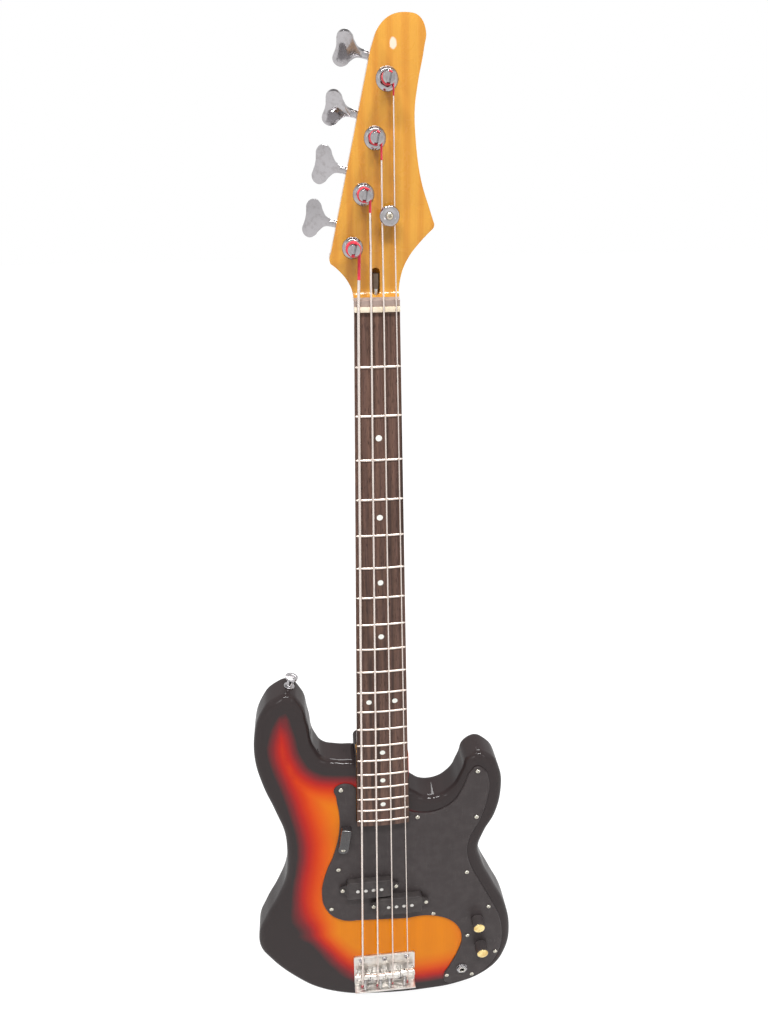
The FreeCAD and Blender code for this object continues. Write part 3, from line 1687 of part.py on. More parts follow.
def make_machine_plate():
    """The base plate with two raised ears that carry the worm."""
    centre = vector(0, 0, (machine_plate_high - machine_plate_low) / 2)
    length = machine_plate_high + machine_plate_low
    plate = rounded_slab(centre, machine_plate_half_width * 2, length, machine_plate_corner, head_back,
                         machine_plate_thickness)
    level = worm_level()
    middle = worm_offset()
    shapes = [plate]
    for left, right in ear_places():
        shapes.append(box_between(vector(left, head_back, middle - ear_half_width),
                                  vector(right, level, middle + ear_half_width)))
        shapes.append(Part.makeCylinder(ear_half_width, right - left, vector(left, level, middle), across))
    blank = join_all(shapes)
    shaft = Part.makeCylinder(shaft_radius + running_gap, machine_plate_half_width * 4,
                              vector(-machine_plate_half_width * 2, level, middle), across)
    post = Part.makeCylinder(post_radius + free_gap, head_back * 4, vector(0, -head_back, 0), backward)
    holes = [shank_hole(machine_screw, seat, forward) for seat in machine_screw_seats()]
    return cut_all(blank, [shaft, post] + holes)


def make_bushing():
    flange = bushing_flange_diameter / 2
    barrel = bushing_barrel_diameter / 2
    bore = post_radius + running_gap
    lip = bushing_flange_thickness
    profile = [(bore, -lip), (flange - lip, -lip), (flange, 0), (barrel, 0),
               (barrel, bushing_barrel_length), (bore, bushing_barrel_length)]
    return turned(profile, vector(0, head_face, 0), backward)


def machine_holes(name):
    """The stepped hole for a machine's bushing and post, and its plate's screw holes."""
    start = vector(0, head_face - overrun, 0)
    barrel = Part.makeCylinder(bushing_barrel_diameter / 2 + seat_gap, bushing_barrel_length + overrun + seat_gap,
                               start, backward)
    through = Part.makeCylinder(post_radius + free_gap, headstock_thickness + overrun * 2, start, backward)
    holes = [barrel, through] + [shank_hole(machine_screw, seat, forward) for seat in machine_screw_seats()]
    return [placed(hole, name) for hole in holes]


def gear_level():
    return worm_level() - gear_thickness / 2


def make_post():
    """The string post: a waisted, slotted head, a plain journal and a screw that holds the gear."""
    front = head_face - bushing_flange_thickness
    top = front - post_height
    foot = front - free_gap
    gear_end = gear_level() + gear_thickness
    waist_top = top + post_cap_height
    profile = [
        (0, top), (post_top_radius - post_bevel, top), (post_top_radius, top + post_bevel),
        (post_top_radius, waist_top), (post_waist_radius, waist_top + post_bevel),
        (post_waist_radius, foot - post_foot_height), (post_radius, foot - post_foot_height),
        (post_radius, gear_level() - gear_hub_gap()), (gear_bore_radius, gear_level() - gear_hub_gap()),
        (gear_bore_radius, gear_end), (gear_screw_head_radius, gear_end),
        (gear_screw_head_radius, gear_end + gear_screw_head_height), (0, gear_end + gear_screw_head_height),
    ]
    post = turned(profile, vector(0, 0, 0), backward)
    slot = box_between(vector(-post_slot_width / 2, top - overrun, -post_top_radius * 2),
                       vector(post_slot_width / 2, top + post_slot_depth, post_top_radius * 2))
    return post.cut(slot)


def gear_hub_gap():
    """The gear's hub reaches from its teeth to just over the plate."""
    return gear_level() - (head_back + machine_plate_thickness + free_gap)


def gear_profile(turn, y):
    """The gear's outline at a level: straight-flanked teeth, turned by an angle in degrees."""
    pitch = gear_pitch_radius()
    tip = pitch + gear_module * tooth_addendum_share
    root = pitch - gear_module * tooth_dedendum_share
    tooth = math.pi / gear_teeth
    thin = mesh_gap / pitch / 2
    points = []
    for number in range(gear_teeth):
        middle = 2 * tooth * (number + 0.5) + math.radians(turn)
        root_half = tooth / 2 * (1 + tooth_flank_share * 2) - thin
        tip_half = tooth / 2 * (1 - tooth_flank_share * 2) - thin
        for radius, angle in ((root, -root_half), (tip, -tip_half), (tip, tip_half), (root, root_half)):
            points.append(vector(radius * math.sin(middle + angle), y, radius * math.cos(middle + angle)))
    return Part.makePolygon(points + [points[0]])


def make_gear():
    """The worm wheel: its teeth lean by the worm's lead and its hub stands on the plate."""
    lean = math.degrees(gear_thickness / 2 * worm_lead() / (2 * math.pi * worm_pitch_radius) / gear_pitch_radius())
    low = gear_level()
    wires = [gear_profile(-lean, low), gear_profile(lean, low + gear_thickness)]
    wheel = Part.makeLoft(wires, True, True)
    hub = Part.makeCylinder(gear_hub_radius, gear_hub_gap(), vector(0, low - gear_hub_gap(), 0), backward)
    bore = Part.makeCylinder(gear_bore_radius + seat_gap, gear_thickness * 4, vector(0, low - gear_thickness * 2, 0),
                             backward)
    return wheel.fuse(hub).removeSplitter().cut(bore)


def make_worm():
    """One start of thread on a round core; the thread is swept along its helix."""
    lead = worm_lead()
    tip = worm_tip_radius()
    root = worm_pitch_radius - gear_module * tooth_dedendum_share
    half = lead / 4
    thin = mesh_gap / 2
    flank = lead * tooth_flank_share / 2
    bite = seat_gap * 4
    length = worm_length - lead - ear_gap
    profile = [(root - bite, -half - flank + thin), (tip, -half + flank + thin),
               (tip, half - flank - thin), (root - bite, half + flank - thin)]
    count = 2 * round(length / lead * thread_steps / 2)
    sections = []
    for step in range(-count // 2, count // 2 + 1):
        angle = 2 * math.pi * step / thread_steps
        rise = lead * step / thread_steps
        corners = [vector(radius * math.cos(angle), radius * math.sin(angle), rise + height)
                   for radius, height in profile]
        sections.append(Part.makePolygon(corners + [corners[0]]))
    thread = Part.makeLoft(sections, True, True)
    core = Part.makeCylinder(root, worm_length, vector(0, 0, -worm_length / 2), upward)
    worm = core.fuse(thread)
    turn = FreeCAD.Rotation(vector(0, 0, -1), vector(0, 1, 0), vector(1, 0, 0))
    frame = FreeCAD.Placement(vector(0, worm_level(), worm_offset()), turn)
    moved = worm.copy()
    moved.Placement = frame
    return moved


def key_outline():
    """The clover blade in its own plane: X runs out from the stem and Z runs across."""
    half = key_width / 2
    points = [vector(-key_length * along, 0, half * side) for along, side in key_blade_shares]
    points.append(vector(-key_length * key_blade_end_share, 0, 0))
    points += [vector(-key_length * along, 0, -half * side) for along, side in reversed(key_blade_shares)]
    return points


def make_key(name):
    """The worm with its shaft, collar and clover blade, which turn as one piece."""
    level = worm_level()
    middle = worm_offset()
    inner_end = ear_places()[1][1] + ear_gap
    outer_end = key_from_post
    shaft = Part.makeCylinder(shaft_radius, inner_end + outer_end, vector(-outer_end, level, middle), across)
    collar_start = -ear_places()[1][1] - ear_gap
    stem = Part.makeCylinder(key_stem_radius, outer_end + collar_start, vector(-outer_end, level, middle), across)
    points = key_outline()
    blade = slab(smooth_path(points) + [line_edge(points[-1], points[0])], backward * key_thickness)
    blade.translate(vector(-outer_end + key_stem_start, level - key_thickness / 2, middle))
    blade.rotate(vector(0, level, middle), across, key_angles_deg[name])
    return join_all([make_worm(), shaft, stem, blade])


# Files

def save(node, shape):
    shape.exportStep("parts/%s.step" % node)


def main():
    os.makedirs("parts", exist_ok=True)

    machine_cutters = []
    for name in string_names:
        machine_cutters += machine_holes(name)
    tree_hole = shank_hole(tree_screw, tree_screw_seat(), backward)
    neck_holes = [shank_hole(neck_screw, seat, forward) for seat in neck_screw_seats()]
    save("neck", make_neck(machine_cutters, tree_hole, neck_holes))
    save("fingerboard", make_fingerboard())
    save("frets", Part.makeCompound([make_fret(number) for number in range(1, fret_count + 1)]))
    save("position_dots", make_dots())
    save("nut", make_nut())
    save("truss_rod", make_truss_rod())
    save("truss_rod_nut", make_truss_nut())

    buttons = button_frames()
    body_holes = [countersink(neck_screw, seat, forward) for seat in neck_screw_seats()]
    body_holes += [shank_hole(guard_screw, seat, backward) for seat in guard_screw_seats()]
    body_holes += [shank_hole(bridge_screw, seat, backward) for seat in bridge_screw_seats()]
    body_holes.append(shank_hole(rest_screw, rest_screw_seat(), backward))
    for half in ("bass", "treble"):
        body_holes += [shank_hole(pickup_screw, seat, backward) for seat in pickup_ear_seats(half)]
    body_holes += [shank_hole(button_screw(), button_screw_seat(place, normal), normal * -1)
                   for place, normal in buttons]
    save("body", make_body(body_holes))
    save("neck_plate", make_neck_plate())
    save("neck_screws", Part.makeCompound([flat_screw(neck_screw, seat, forward)
                                           for seat in neck_screw_seats()]))

    save("pickguard", make_pickguard())
    save("pickguard_screws", Part.makeCompound([pan_screw(guard_screw, seat, backward)
                                                for seat in guard_screw_seats()]))
    save("thumb_rest", make_thumb_rest())
    save("thumb_rest_screw", pan_screw(rest_screw, rest_screw_seat(), backward))

    for half in ("bass", "treble"):
        save("pickup_cover_" + half, make_cover(half))
    halves = ("bass", "treble")
    save("pickup_bobbins", Part.makeCompound(sum([make_bobbin(half) for half in halves], [])))
    save("pickup_coils", Part.makeCompound([make_coil(half) for half in halves]))
    save("pickup_pole_pieces", make_poles())
    save("pickup_foam", Part.makeCompound([make_foam(half) for half in halves]))
    save("pickup_screws", Part.makeCompound([pan_screw(pickup_screw, seat, backward)
                                             for half in halves for seat in pickup_ear_seats(half)]))

    pots = pot_places()
    save("pot_housings", Part.makeCompound([make_pot_housing(place) for place in pots.values()]))
    save("pot_nuts", Part.makeCompound([make_pot_nut(place) for place in pots.values()]))
    for control, place in pots.items():
        save(control + "_shaft", make_pot_shaft(place))
        save(control + "_knob", make_knob(place))
    save("tone_capacitor", make_capacitor())
    save("output_jack", make_jack())
    save("output_jack_nut", make_jack_nut())

    save("bridge_plate", make_bridge_plate())
    save("bridge_screws", Part.makeCompound([pan_screw(bridge_screw, seat, backward)
                                             for seat in bridge_screw_seats()]))
    save("bridge_saddles", Part.makeCompound([make_saddle(name) for name in string_names]))
    save("saddle_height_screws", Part.makeCompound(sum([make_height_screws(name) for name in string_names], [])))
    save("intonation_screws", Part.makeCompound([make_intonation_screw(name) for name in string_names]))
    save("intonation_springs", Part.makeCompound([make_spring(name) for name in string_names]))
    save("string_ball_ends", Part.makeCompound([make_string_ball(name) for name in string_names]))
    for name in string_names:
        save("string_" + name, make_string(name))
        print_winding_gap(name)

    save("strap_buttons", Part.makeCompound([make_button(place, normal) for place, normal in buttons]))
    save("strap_button_screws", Part.makeCompound([
        flat_screw(button_screw(), button_screw_seat(place, normal), normal * -1)
        for place, normal in buttons]))
    save("string_tree", make_string_tree())
    save("string_tree_screw", pan_screw(tree_screw, tree_screw_seat(), backward))

    save("tuner_plates", Part.makeCompound([placed(make_machine_plate(), name) for name in string_names]))
    save("tuner_bushings", Part.makeCompound([placed(make_bushing(), name) for name in string_names]))
    save("tuner_screws", Part.makeCompound([placed(pan_screw(machine_screw, seat, forward), name)
                                            for name in string_names for seat in machine_screw_seats()]))
    for name in string_names:
        save("tuner_post_" + name, placed(make_post(), name))
        save("tuner_gear_" + name, placed(make_gear(), name))
        save("tuner_key_" + name, placed(make_key(name), name))


main()
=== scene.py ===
"""Looks of a four-string solid-body bass guitar, built round its packed construction model.

The construction model and every piece made here share one frame, in metres: the neck points up
(+Z), the strings face -Y and the treble side is +X. Sizes in the classes are in millimetres.
"""

import json
import logging
import math
from dataclasses import dataclass, field, replace
from enum import Enum
from typing import Callable, Optional, Sequence

import bmesh
import bpy
import numpy as np
from mathutils import Matrix, Vector

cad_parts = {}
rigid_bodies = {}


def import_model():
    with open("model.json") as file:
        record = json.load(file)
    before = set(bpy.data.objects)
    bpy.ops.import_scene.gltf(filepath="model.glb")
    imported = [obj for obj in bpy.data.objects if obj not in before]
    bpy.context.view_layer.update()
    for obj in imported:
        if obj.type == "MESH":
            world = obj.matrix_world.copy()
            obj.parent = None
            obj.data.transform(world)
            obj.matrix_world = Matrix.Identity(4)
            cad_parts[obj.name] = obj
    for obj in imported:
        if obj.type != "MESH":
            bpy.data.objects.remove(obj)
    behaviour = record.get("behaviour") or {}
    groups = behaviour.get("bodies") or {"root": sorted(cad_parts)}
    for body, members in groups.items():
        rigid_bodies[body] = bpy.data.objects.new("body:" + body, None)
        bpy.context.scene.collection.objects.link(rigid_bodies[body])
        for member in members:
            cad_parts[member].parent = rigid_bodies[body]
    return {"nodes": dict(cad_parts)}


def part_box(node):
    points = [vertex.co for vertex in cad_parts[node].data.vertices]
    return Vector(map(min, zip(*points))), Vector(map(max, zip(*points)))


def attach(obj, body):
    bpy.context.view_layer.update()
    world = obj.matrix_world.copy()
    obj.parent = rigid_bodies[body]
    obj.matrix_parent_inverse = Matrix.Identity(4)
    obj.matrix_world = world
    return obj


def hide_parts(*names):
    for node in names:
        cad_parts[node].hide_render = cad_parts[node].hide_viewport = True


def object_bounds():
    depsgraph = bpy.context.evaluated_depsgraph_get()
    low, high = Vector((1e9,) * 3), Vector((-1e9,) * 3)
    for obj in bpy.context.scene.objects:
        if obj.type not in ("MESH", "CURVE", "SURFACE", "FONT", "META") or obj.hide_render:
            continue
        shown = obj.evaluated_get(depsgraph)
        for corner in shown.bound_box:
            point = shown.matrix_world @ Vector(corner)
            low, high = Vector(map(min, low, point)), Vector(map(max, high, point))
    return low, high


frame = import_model()
CAD_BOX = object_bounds()

log = logging.getLogger("bass_guitar")

MM = 0.001
STATIC = "instrument"
STRINGS = ("e", "a", "d", "g")
WHITE = (1, 1, 1, 1)
Socket = bpy.types.NodeSocket


class Facing(Enum):
    """The way that a fastener is driven, into the instrument."""

    FROM_FRONT = (0.0, 1.0, 0.0)
    FROM_BACK = (0.0, -1.0, 0.0)


class Drive(Enum):
    """The recess in a fastener's head."""

    CROSS = "cross"
    SOCKET = "socket"


class HeadForm(Enum):
    """The outline of a fastener's head."""

    PAN = "pan"
    FLAT = "flat"
    GRUB = "grub"


def tint(red: float, green: float, blue: float) -> tuple[float, float, float, float]:
    """A colour as it looks on a screen, from 0 to 255 a channel, as Blender's linear colour.

    Args:
        red: The red channel.
        green: The green channel.
        blue: The blue channel.

    Returns:
        Linear red, green and blue, and an alpha of 1.
    """
    linear = []
    for channel in (red, green, blue):
        share = channel / 255
        linear.append(share / 12.92 if share <= 0.04045 else ((share + 0.055) / 1.055) ** 2.4)
    return linear[0], linear[1], linear[2], 1.0


def placed(name: str, data: object) -> bpy.types.Object:
    """A new object in the scene for a mesh, a lamp or a camera."""
    made = bpy.data.objects.new(name, data)
    bpy.context.scene.collection.objects.link(made)
    return made


class Graph:
    """Adds nodes to one tree and joins them, so that a recipe reads from top to bottom."""

    SMUDGE_RANGE = (0.3, 0.8)

    def __init__(self, tree: bpy.types.NodeTree) -> None:
        """Keeps the tree that the nodes go into."""
        self.tree = tree

    def node(self, kind: str, feeds: Optional[dict] = None, **settings: object) -> bpy.types.Node:
        """Adds a node.

        Args:
            kind: Blender's name of the node's type.
            feeds: Values or sockets for its inputs, by input name or index.
            settings: Properties that are set on the node.

        Returns:
            The new node.
        """
        made = self.tree.nodes.new(kind)
        for key, value in settings.items():
            setattr(made, key, value)
        for key, value in (feeds or {}).items():
            self.feed(made.inputs[key], value)
        return made

    def feed(self, socket: Socket, value: object) -> None:
        """Gives an input a constant, or joins another node's output to it."""
        if isinstance(value, Socket):
            self.tree.links.new(value, socket)
        elif value is not None:
            socket.default_value = value

    def maths(self, operation: str, first: object, second: object = None) -> Socket:
        """A function of one or two numbers."""
        return self.node("ShaderNodeMath", {0: first, 1: second}, operation=operation).outputs[0]

    def times(self, first: object, second: object) -> Socket:
        """A product."""
        return self.maths("MULTIPLY", first, second)

    def plus(self, first: object, second: object) -> Socket:
        """A sum."""
        return self.maths("ADD", first, second)

    def minus(self, first: object, second: object) -> Socket:
        """A difference."""
        return self.maths("SUBTRACT", first, second)

    def place(self) -> Socket:
        """The point's own place on the instrument."""
        return self.node("ShaderNodeTexCoord").outputs["Object"]

    def parts(self, vector: object) -> Sequence[Socket]:
        """The three parts of a place or a way."""
        return self.node("ShaderNodeSeparateXYZ", {0: vector}).outputs

    def stretched(self, vector: object, scale: Sequence[float],
                  turn: Sequence[float] = (0, 0, 0)) -> Socket:
        """A place scaled along each axis and turned, for a pattern that runs one way."""
        feeds = {"Vector": vector, "Scale": scale, "Rotation": turn}
        return self.node("ShaderNodeMapping", feeds).outputs[0]

    def noise(self, vector: object, scale: object, detail: float = 3, roughness: float = 0.5,
              bend: float = 0) -> Socket:
        """Soft cloudy noise between 0 and 1."""
        feeds = {"Vector": vector, "Scale": scale, "Detail": detail, "Roughness": roughness,
                 "Distortion": bend}
        return self.node("ShaderNodeTexNoise", feeds).outputs[0]

    def drawn(self, vector: object, scale: Sequence[float], *texture: float) -> Socket:
        """Noise drawn out along the axes: detail, roughness and bend follow the scale."""
        return self.noise(self.stretched(vector, scale), 1.0, *texture)

    def remap(self, value: object, low: float, high: float, to_low: float = 0,
              to_high: float = 1) -> Socket:
        """A value drawn from one range to another and held within it, with soft ends."""
        feeds = {"Value": value, "From Min": low, "From Max": high, "To Min": to_low,
                 "To Max": to_high}
        return self.node("ShaderNodeMapRange", feeds, interpolation_type="SMOOTHSTEP").outputs[0]

    def mix(self, share: object, first: object, second: object) -> Socket:
        """Two colours mixed by a share."""
        return self.node("ShaderNodeMix", {0: share, 6: first, 7: second},
                         data_type="RGBA").outputs[2]

    def ramp(self, value: object, stops: Sequence[tuple[float, tuple]]) -> Socket:
        """A colour read from a row of stops.

        Args:
            value: Where along the row to read.
            stops: Pairs of a place from 0 to 1 and a colour.

        Returns:
            The colour output.
        """
        made = self.node("ShaderNodeValToRGB", {0: value})
        row = made.color_ramp.elements
        while len(row) < len(stops):
            row.new(0.5)
        for element, (place, colour) in zip(row, stops):
            element.position = place
            element.color = colour
        return made.outputs[0]

    def attribute(self, name: str) -> Socket:
        """A number that the mesh itself carries."""
        return self.node("ShaderNodeAttribute", attribute_name=name).outputs["Fac"]

    def bump(self, height: object, depth_mm: float, strength: float = 1.0) -> Socket:
        """A normal raised by a height, whose full range is a depth in millimetres."""
        feeds = {"Height": height, "Distance": depth_mm * MM, "Strength": strength}
        return self.node("ShaderNodeBump", feeds).outputs[0]

    def effect(self, tree: bpy.types.NodeTree, **values: object) -> Sequence[Socket]:
        """Places a shared effect, whose inputs have this material's own values.

        Args:
            tree: The effect's node group.
            values: The values of its inputs, by their names in small letters.

        Returns:
            The effect's outputs, by name.
        """
        feeds = {key.capitalize(): value for key, value in values.items()}
        return self.node("ShaderNodeGroup", feeds, node_tree=tree).outputs

    def rubbed(self, place: object, scale: float, amount: float) -> Socket:
        """A mask of the rubbed edges."""
        return self.effect(EFFECTS.rubbed_edges(), place=place, bend=self.attribute("bend"),
                           scale=scale, amount=amount)[0]

    def roughness(self, marks: Sequence[Socket], low: float, high: float,
                  scratched: float) -> Socket:
        """How dull a handled surface is.

        Args:
            marks: The outputs of the marks of handling.
            low: The roughness where it is clean.
            high: The roughness where it is smudged.
            scratched: What the hairlines add.

        Returns:
            The roughness.
        """
        haze = self.remap(marks["Smudge"], *self.SMUDGE_RANGE, low, high)
        return self.plus(haze, self.times(marks["Hairlines"], scratched))

    def seen_directly(self) -> Socket:
        """1 for what the camera sees, also in a mirror or through glass, and 0 for light."""
        ray = self.node("ShaderNodeLightPath").outputs
        seen = self.maths("MAXIMUM", ray["Is Camera Ray"], ray["Is Glossy Ray"])
        return self.maths("MAXIMUM", seen, ray["Is Transmission Ray"])


class Effects:
    """Effects that several finishes share, each one node group that is built once."""

    HAIRLINE_TURNS = ((0.4, 0.3, 0.9), (1.1, -0.5, -0.6), (0.2, 0.9, 2.1))

    def __init__(self) -> None:
        """Starts with no group built."""
        self.built: dict[str, bpy.types.NodeTree] = {}

    def _group(self, name: str, numbers: dict[str, float], outputs: Sequence[str],
               recipe: Callable[[Graph, dict], Sequence[Socket]]) -> bpy.types.NodeTree:
        """Builds a group from its recipe, or returns the one that is there.

        Args:
            name: The group's name.
            numbers: Starting value of each input besides the place.
            outputs: Names of the outputs, all numbers.
            recipe: Fills the group, given its graph and inputs, and returns the outputs' values.

        Returns:
            The node group.
        """
        if name in self.built:
            return self.built[name]
        tree = bpy.data.node_groups.new(name, "ShaderNodeTree")
        tree.interface.new_socket("Place", in_out="INPUT", socket_type="NodeSocketVector")
        for title, start in numbers.items():
            tree.interface.new_socket(title, in_out="INPUT",
                                      socket_type="NodeSocketFloat").default_value = start
        for title in outputs:
            tree.interface.new_socket(title, in_out="OUTPUT", socket_type="NodeSocketFloat")
        graph = Graph(tree)
        made = recipe(graph, graph.node("NodeGroupInput").outputs)
        graph.node("NodeGroupOutput", dict(zip(outputs, made)))
        self.built[name] = tree
        return tree

    def handling(self) -> bpy.types.NodeTree:
        """Marks of use: hairline scratches in crossing directions and the smudges of hands.

        Returns:
            The node group.
        """
        def recipe(graph: Graph, given: dict) -> Sequence[Socket]:
            """Three fields of stretched noise give the hairlines, a soft one the smudges."""
            base = graph.node("ShaderNodeVectorMath", {0: given["Place"], "Scale": given["Scale"]},
                              operation="SCALE").outputs[0]
            lines = [graph.remap(graph.noise(graph.stretched(base, (1.0, 1.0, 0.03), turn),
                                             1.0, 2, 0.4), 0.665, 0.72)
                     for turn in self.HAIRLINE_TURNS]
            every = graph.maths("MAXIMUM", graph.maths("MAXIMUM", lines[0], lines[1]), lines[2])
            patches = graph.remap(graph.noise(base, 0.11, 2, 0.6), 0.35, 0.65)
            return graph.times(every, patches), graph.noise(base, 0.07, 4, 0.62, 0.6)
        return self._group("marks of handling", {"Scale": 900.0}, ["Hairlines", "Smudge"], recipe)

    def wood(self) -> bpy.types.NodeTree:
        """Figure, fibres and pores of wood whose grain runs up the instrument.

        Returns:
            The node group.
        """
        def recipe(graph: Graph, given: dict) -> Sequence[Socket]:
            """Rings bent by slow noise, with long thin fibres and short open pores over them."""
            place = given["Place"]
            split = graph.parts(place)
            ring = graph.times(graph.plus(split[0], graph.times(split[1], 0.45)), given["Rings"])
            swirl = graph.times(graph.drawn(place, (9, 9, 1.6), 3, 0.5), given["Swirl"])
            wave = graph.maths("SINE", graph.plus(ring, swirl))
            pore = graph.drawn(place, (2300, 2300, 130), 1, 0.4)
            return (graph.remap(wave, -1, 1), graph.drawn(place, (1500, 1500, 22), 2, 0.6),
                    graph.remap(pore, 0.62, 0.7))
        return self._group("wood along the neck", {"Rings": 420.0, "Swirl": 16.0},
                           ["Figure", "Fibres", "Pores"], recipe)

    def rubbed_edges(self) -> bpy.types.NodeTree:
        """Where a piece's edges are rubbed, from how sharply its own mesh bends there.

        Returns:
            The node group.
        """
        def recipe(graph: Graph, given: dict) -> Sequence[Socket]:
            """The bend is broken up by noise and drawn to a mask."""
            spots = graph.noise(given["Place"], given["Scale"], 4, 0.65)
            uneven = graph.times(given["Bend"], graph.remap(spots, 0.3, 0.75))
            return (graph.remap(graph.times(uneven, given["Amount"]), 0.25, 0.75),)
        return self._group("rubbed edges", {"Bend": 0.0, "Scale": 260.0, "Amount": 1.0},
                           ["Rubbed"], recipe)

    def specks(self) -> bpy.types.NodeTree:
        """Small scattered spots, such as dust, pits and tarnish.

        Returns:
            The node group.
        """
        def recipe(graph: Graph, given: dict) -> Sequence[Socket]:
            """Cells with a small dark heart, kept only where slow noise lets them be."""
            place, scale = given["Place"], given["Scale"]
            cells = graph.node("ShaderNodeTexVoronoi", {"Vector": place, "Scale": scale})
            dots = graph.remap(cells.outputs["Distance"], 0.10, 0.22, 1, 0)
            where = graph.noise(place, graph.times(scale, 0.12), 2, 0.5)
            return (graph.times(dots, graph.remap(where, 0.5, 0.68)),)
        return self._group("specks", {"Scale": 500.0}, ["Specks"], recipe)


EFFECTS = Effects()


@dataclass(frozen=True)
class Finish:
    """One surface finish. A subclass adds its recipe."""

    name: str

    def recipe(self, graph: Graph) -> dict[str, object]:
        """What the finish looks like.

        Args:
            graph: The material's graph, which the recipe fills.

        Returns:
            What the shader's inputs are fed, by name.
        """
        raise NotImplementedError

    def surface(self, graph: Graph) -> Socket:
        """The shader's output."""
        return graph.node("ShaderNodeBsdfPrincipled", self.recipe(graph)).outputs[0]

    def build(self) -> bpy.types.Material:
        """Makes the finish's material.

        Returns:
            The material.
        """
        material = bpy.data.materials.new(self.name)
        material.use_nodes = True
        material.node_tree.nodes.clear()
        graph = Graph(material.node_tree)
        graph.node("ShaderNodeOutputMaterial", {"Surface": self.surface(graph)})
        return material


@dataclass(frozen=True)
class BurstLacquer(Finish):
    """Black rim, red band and amber heart sprayed on the body, under clear gloss lacquer."""

    rim_black: tuple = tint(50, 43, 43)
    band_wine: tuple = tint(118, 34, 38)
    band_red: tuple = tint(174, 30, 19)
    band_scarlet: tuple = tint(197, 52, 0)
    band_orange: tuple = tint(209, 76, 0)
    heart_amber: tuple = tint(215, 106, 0)
    heart_gold: tuple = tint(218, 126, 0)
    figure_tint: tuple = tint(176, 78, 0)
    fibre_tint: tuple = tint(150, 62, 10)
    rubbed_tint: tuple = tint(120, 92, 60)
    coat: float = 0.34
    coat_roughness: float = 0.035

    def recipe(self, graph: Graph) -> dict[str, object]:
        """The spray follows the distance from the outline, with soft uneven edges."""
        place = graph.place()
        cloud = graph.minus(graph.noise(place, 16, 3, 0.5), 0.5)
        mist = graph.minus(graph.noise(place, 900, 2, 0.5), 0.5)
        depth = graph.plus(graph.attribute("spray"), graph.times(cloud, 0.05))
        depth = graph.plus(depth, graph.times(mist, 0.02))
        burst = graph.ramp(depth, [(0.0, self.rim_black), (0.19, self.rim_black),
                                   (0.265, self.band_wine), (0.34, self.band_red),
                                   (0.41, self.band_scarlet), (0.48, self.band_orange),
                                   (0.60, self.heart_amber), (0.78, self.heart_gold)])
        wood = graph.effect(EFFECTS.wood(), place=place, rings=260.0, swirl=22.0)
        clear = graph.remap(depth, 0.5, 0.85)
        figure = graph.times(wood["Figure"], 0.08)
        fibres = graph.times(graph.remap(wood["Fibres"], 0.45, 0.7), 0.06)
        veiled = graph.mix(graph.times(figure, clear), burst, self.figure_tint)
        veiled = graph.mix(graph.times(fibres, clear), veiled, self.fibre_tint)
        marks = graph.effect(EFFECTS.handling(), place=place, scale=700.0)
        rubbed = graph.times(graph.rubbed(place, 300.0, 0.55), 0.35)
        swell = graph.plus(graph.noise(place, 90, 2, 0.5), graph.times(marks["Hairlines"], -0.25))
        return {"Base Color": graph.mix(rubbed, veiled, self.rubbed_tint),
                "Roughness": graph.roughness(marks, 0.30, 0.44, 0.25),
                "Normal": graph.bump(swell, 0.05, 0.5), "Specular IOR Level": 0.0,
                "Coat Weight": self.coat, "Coat Roughness": self.coat_roughness}


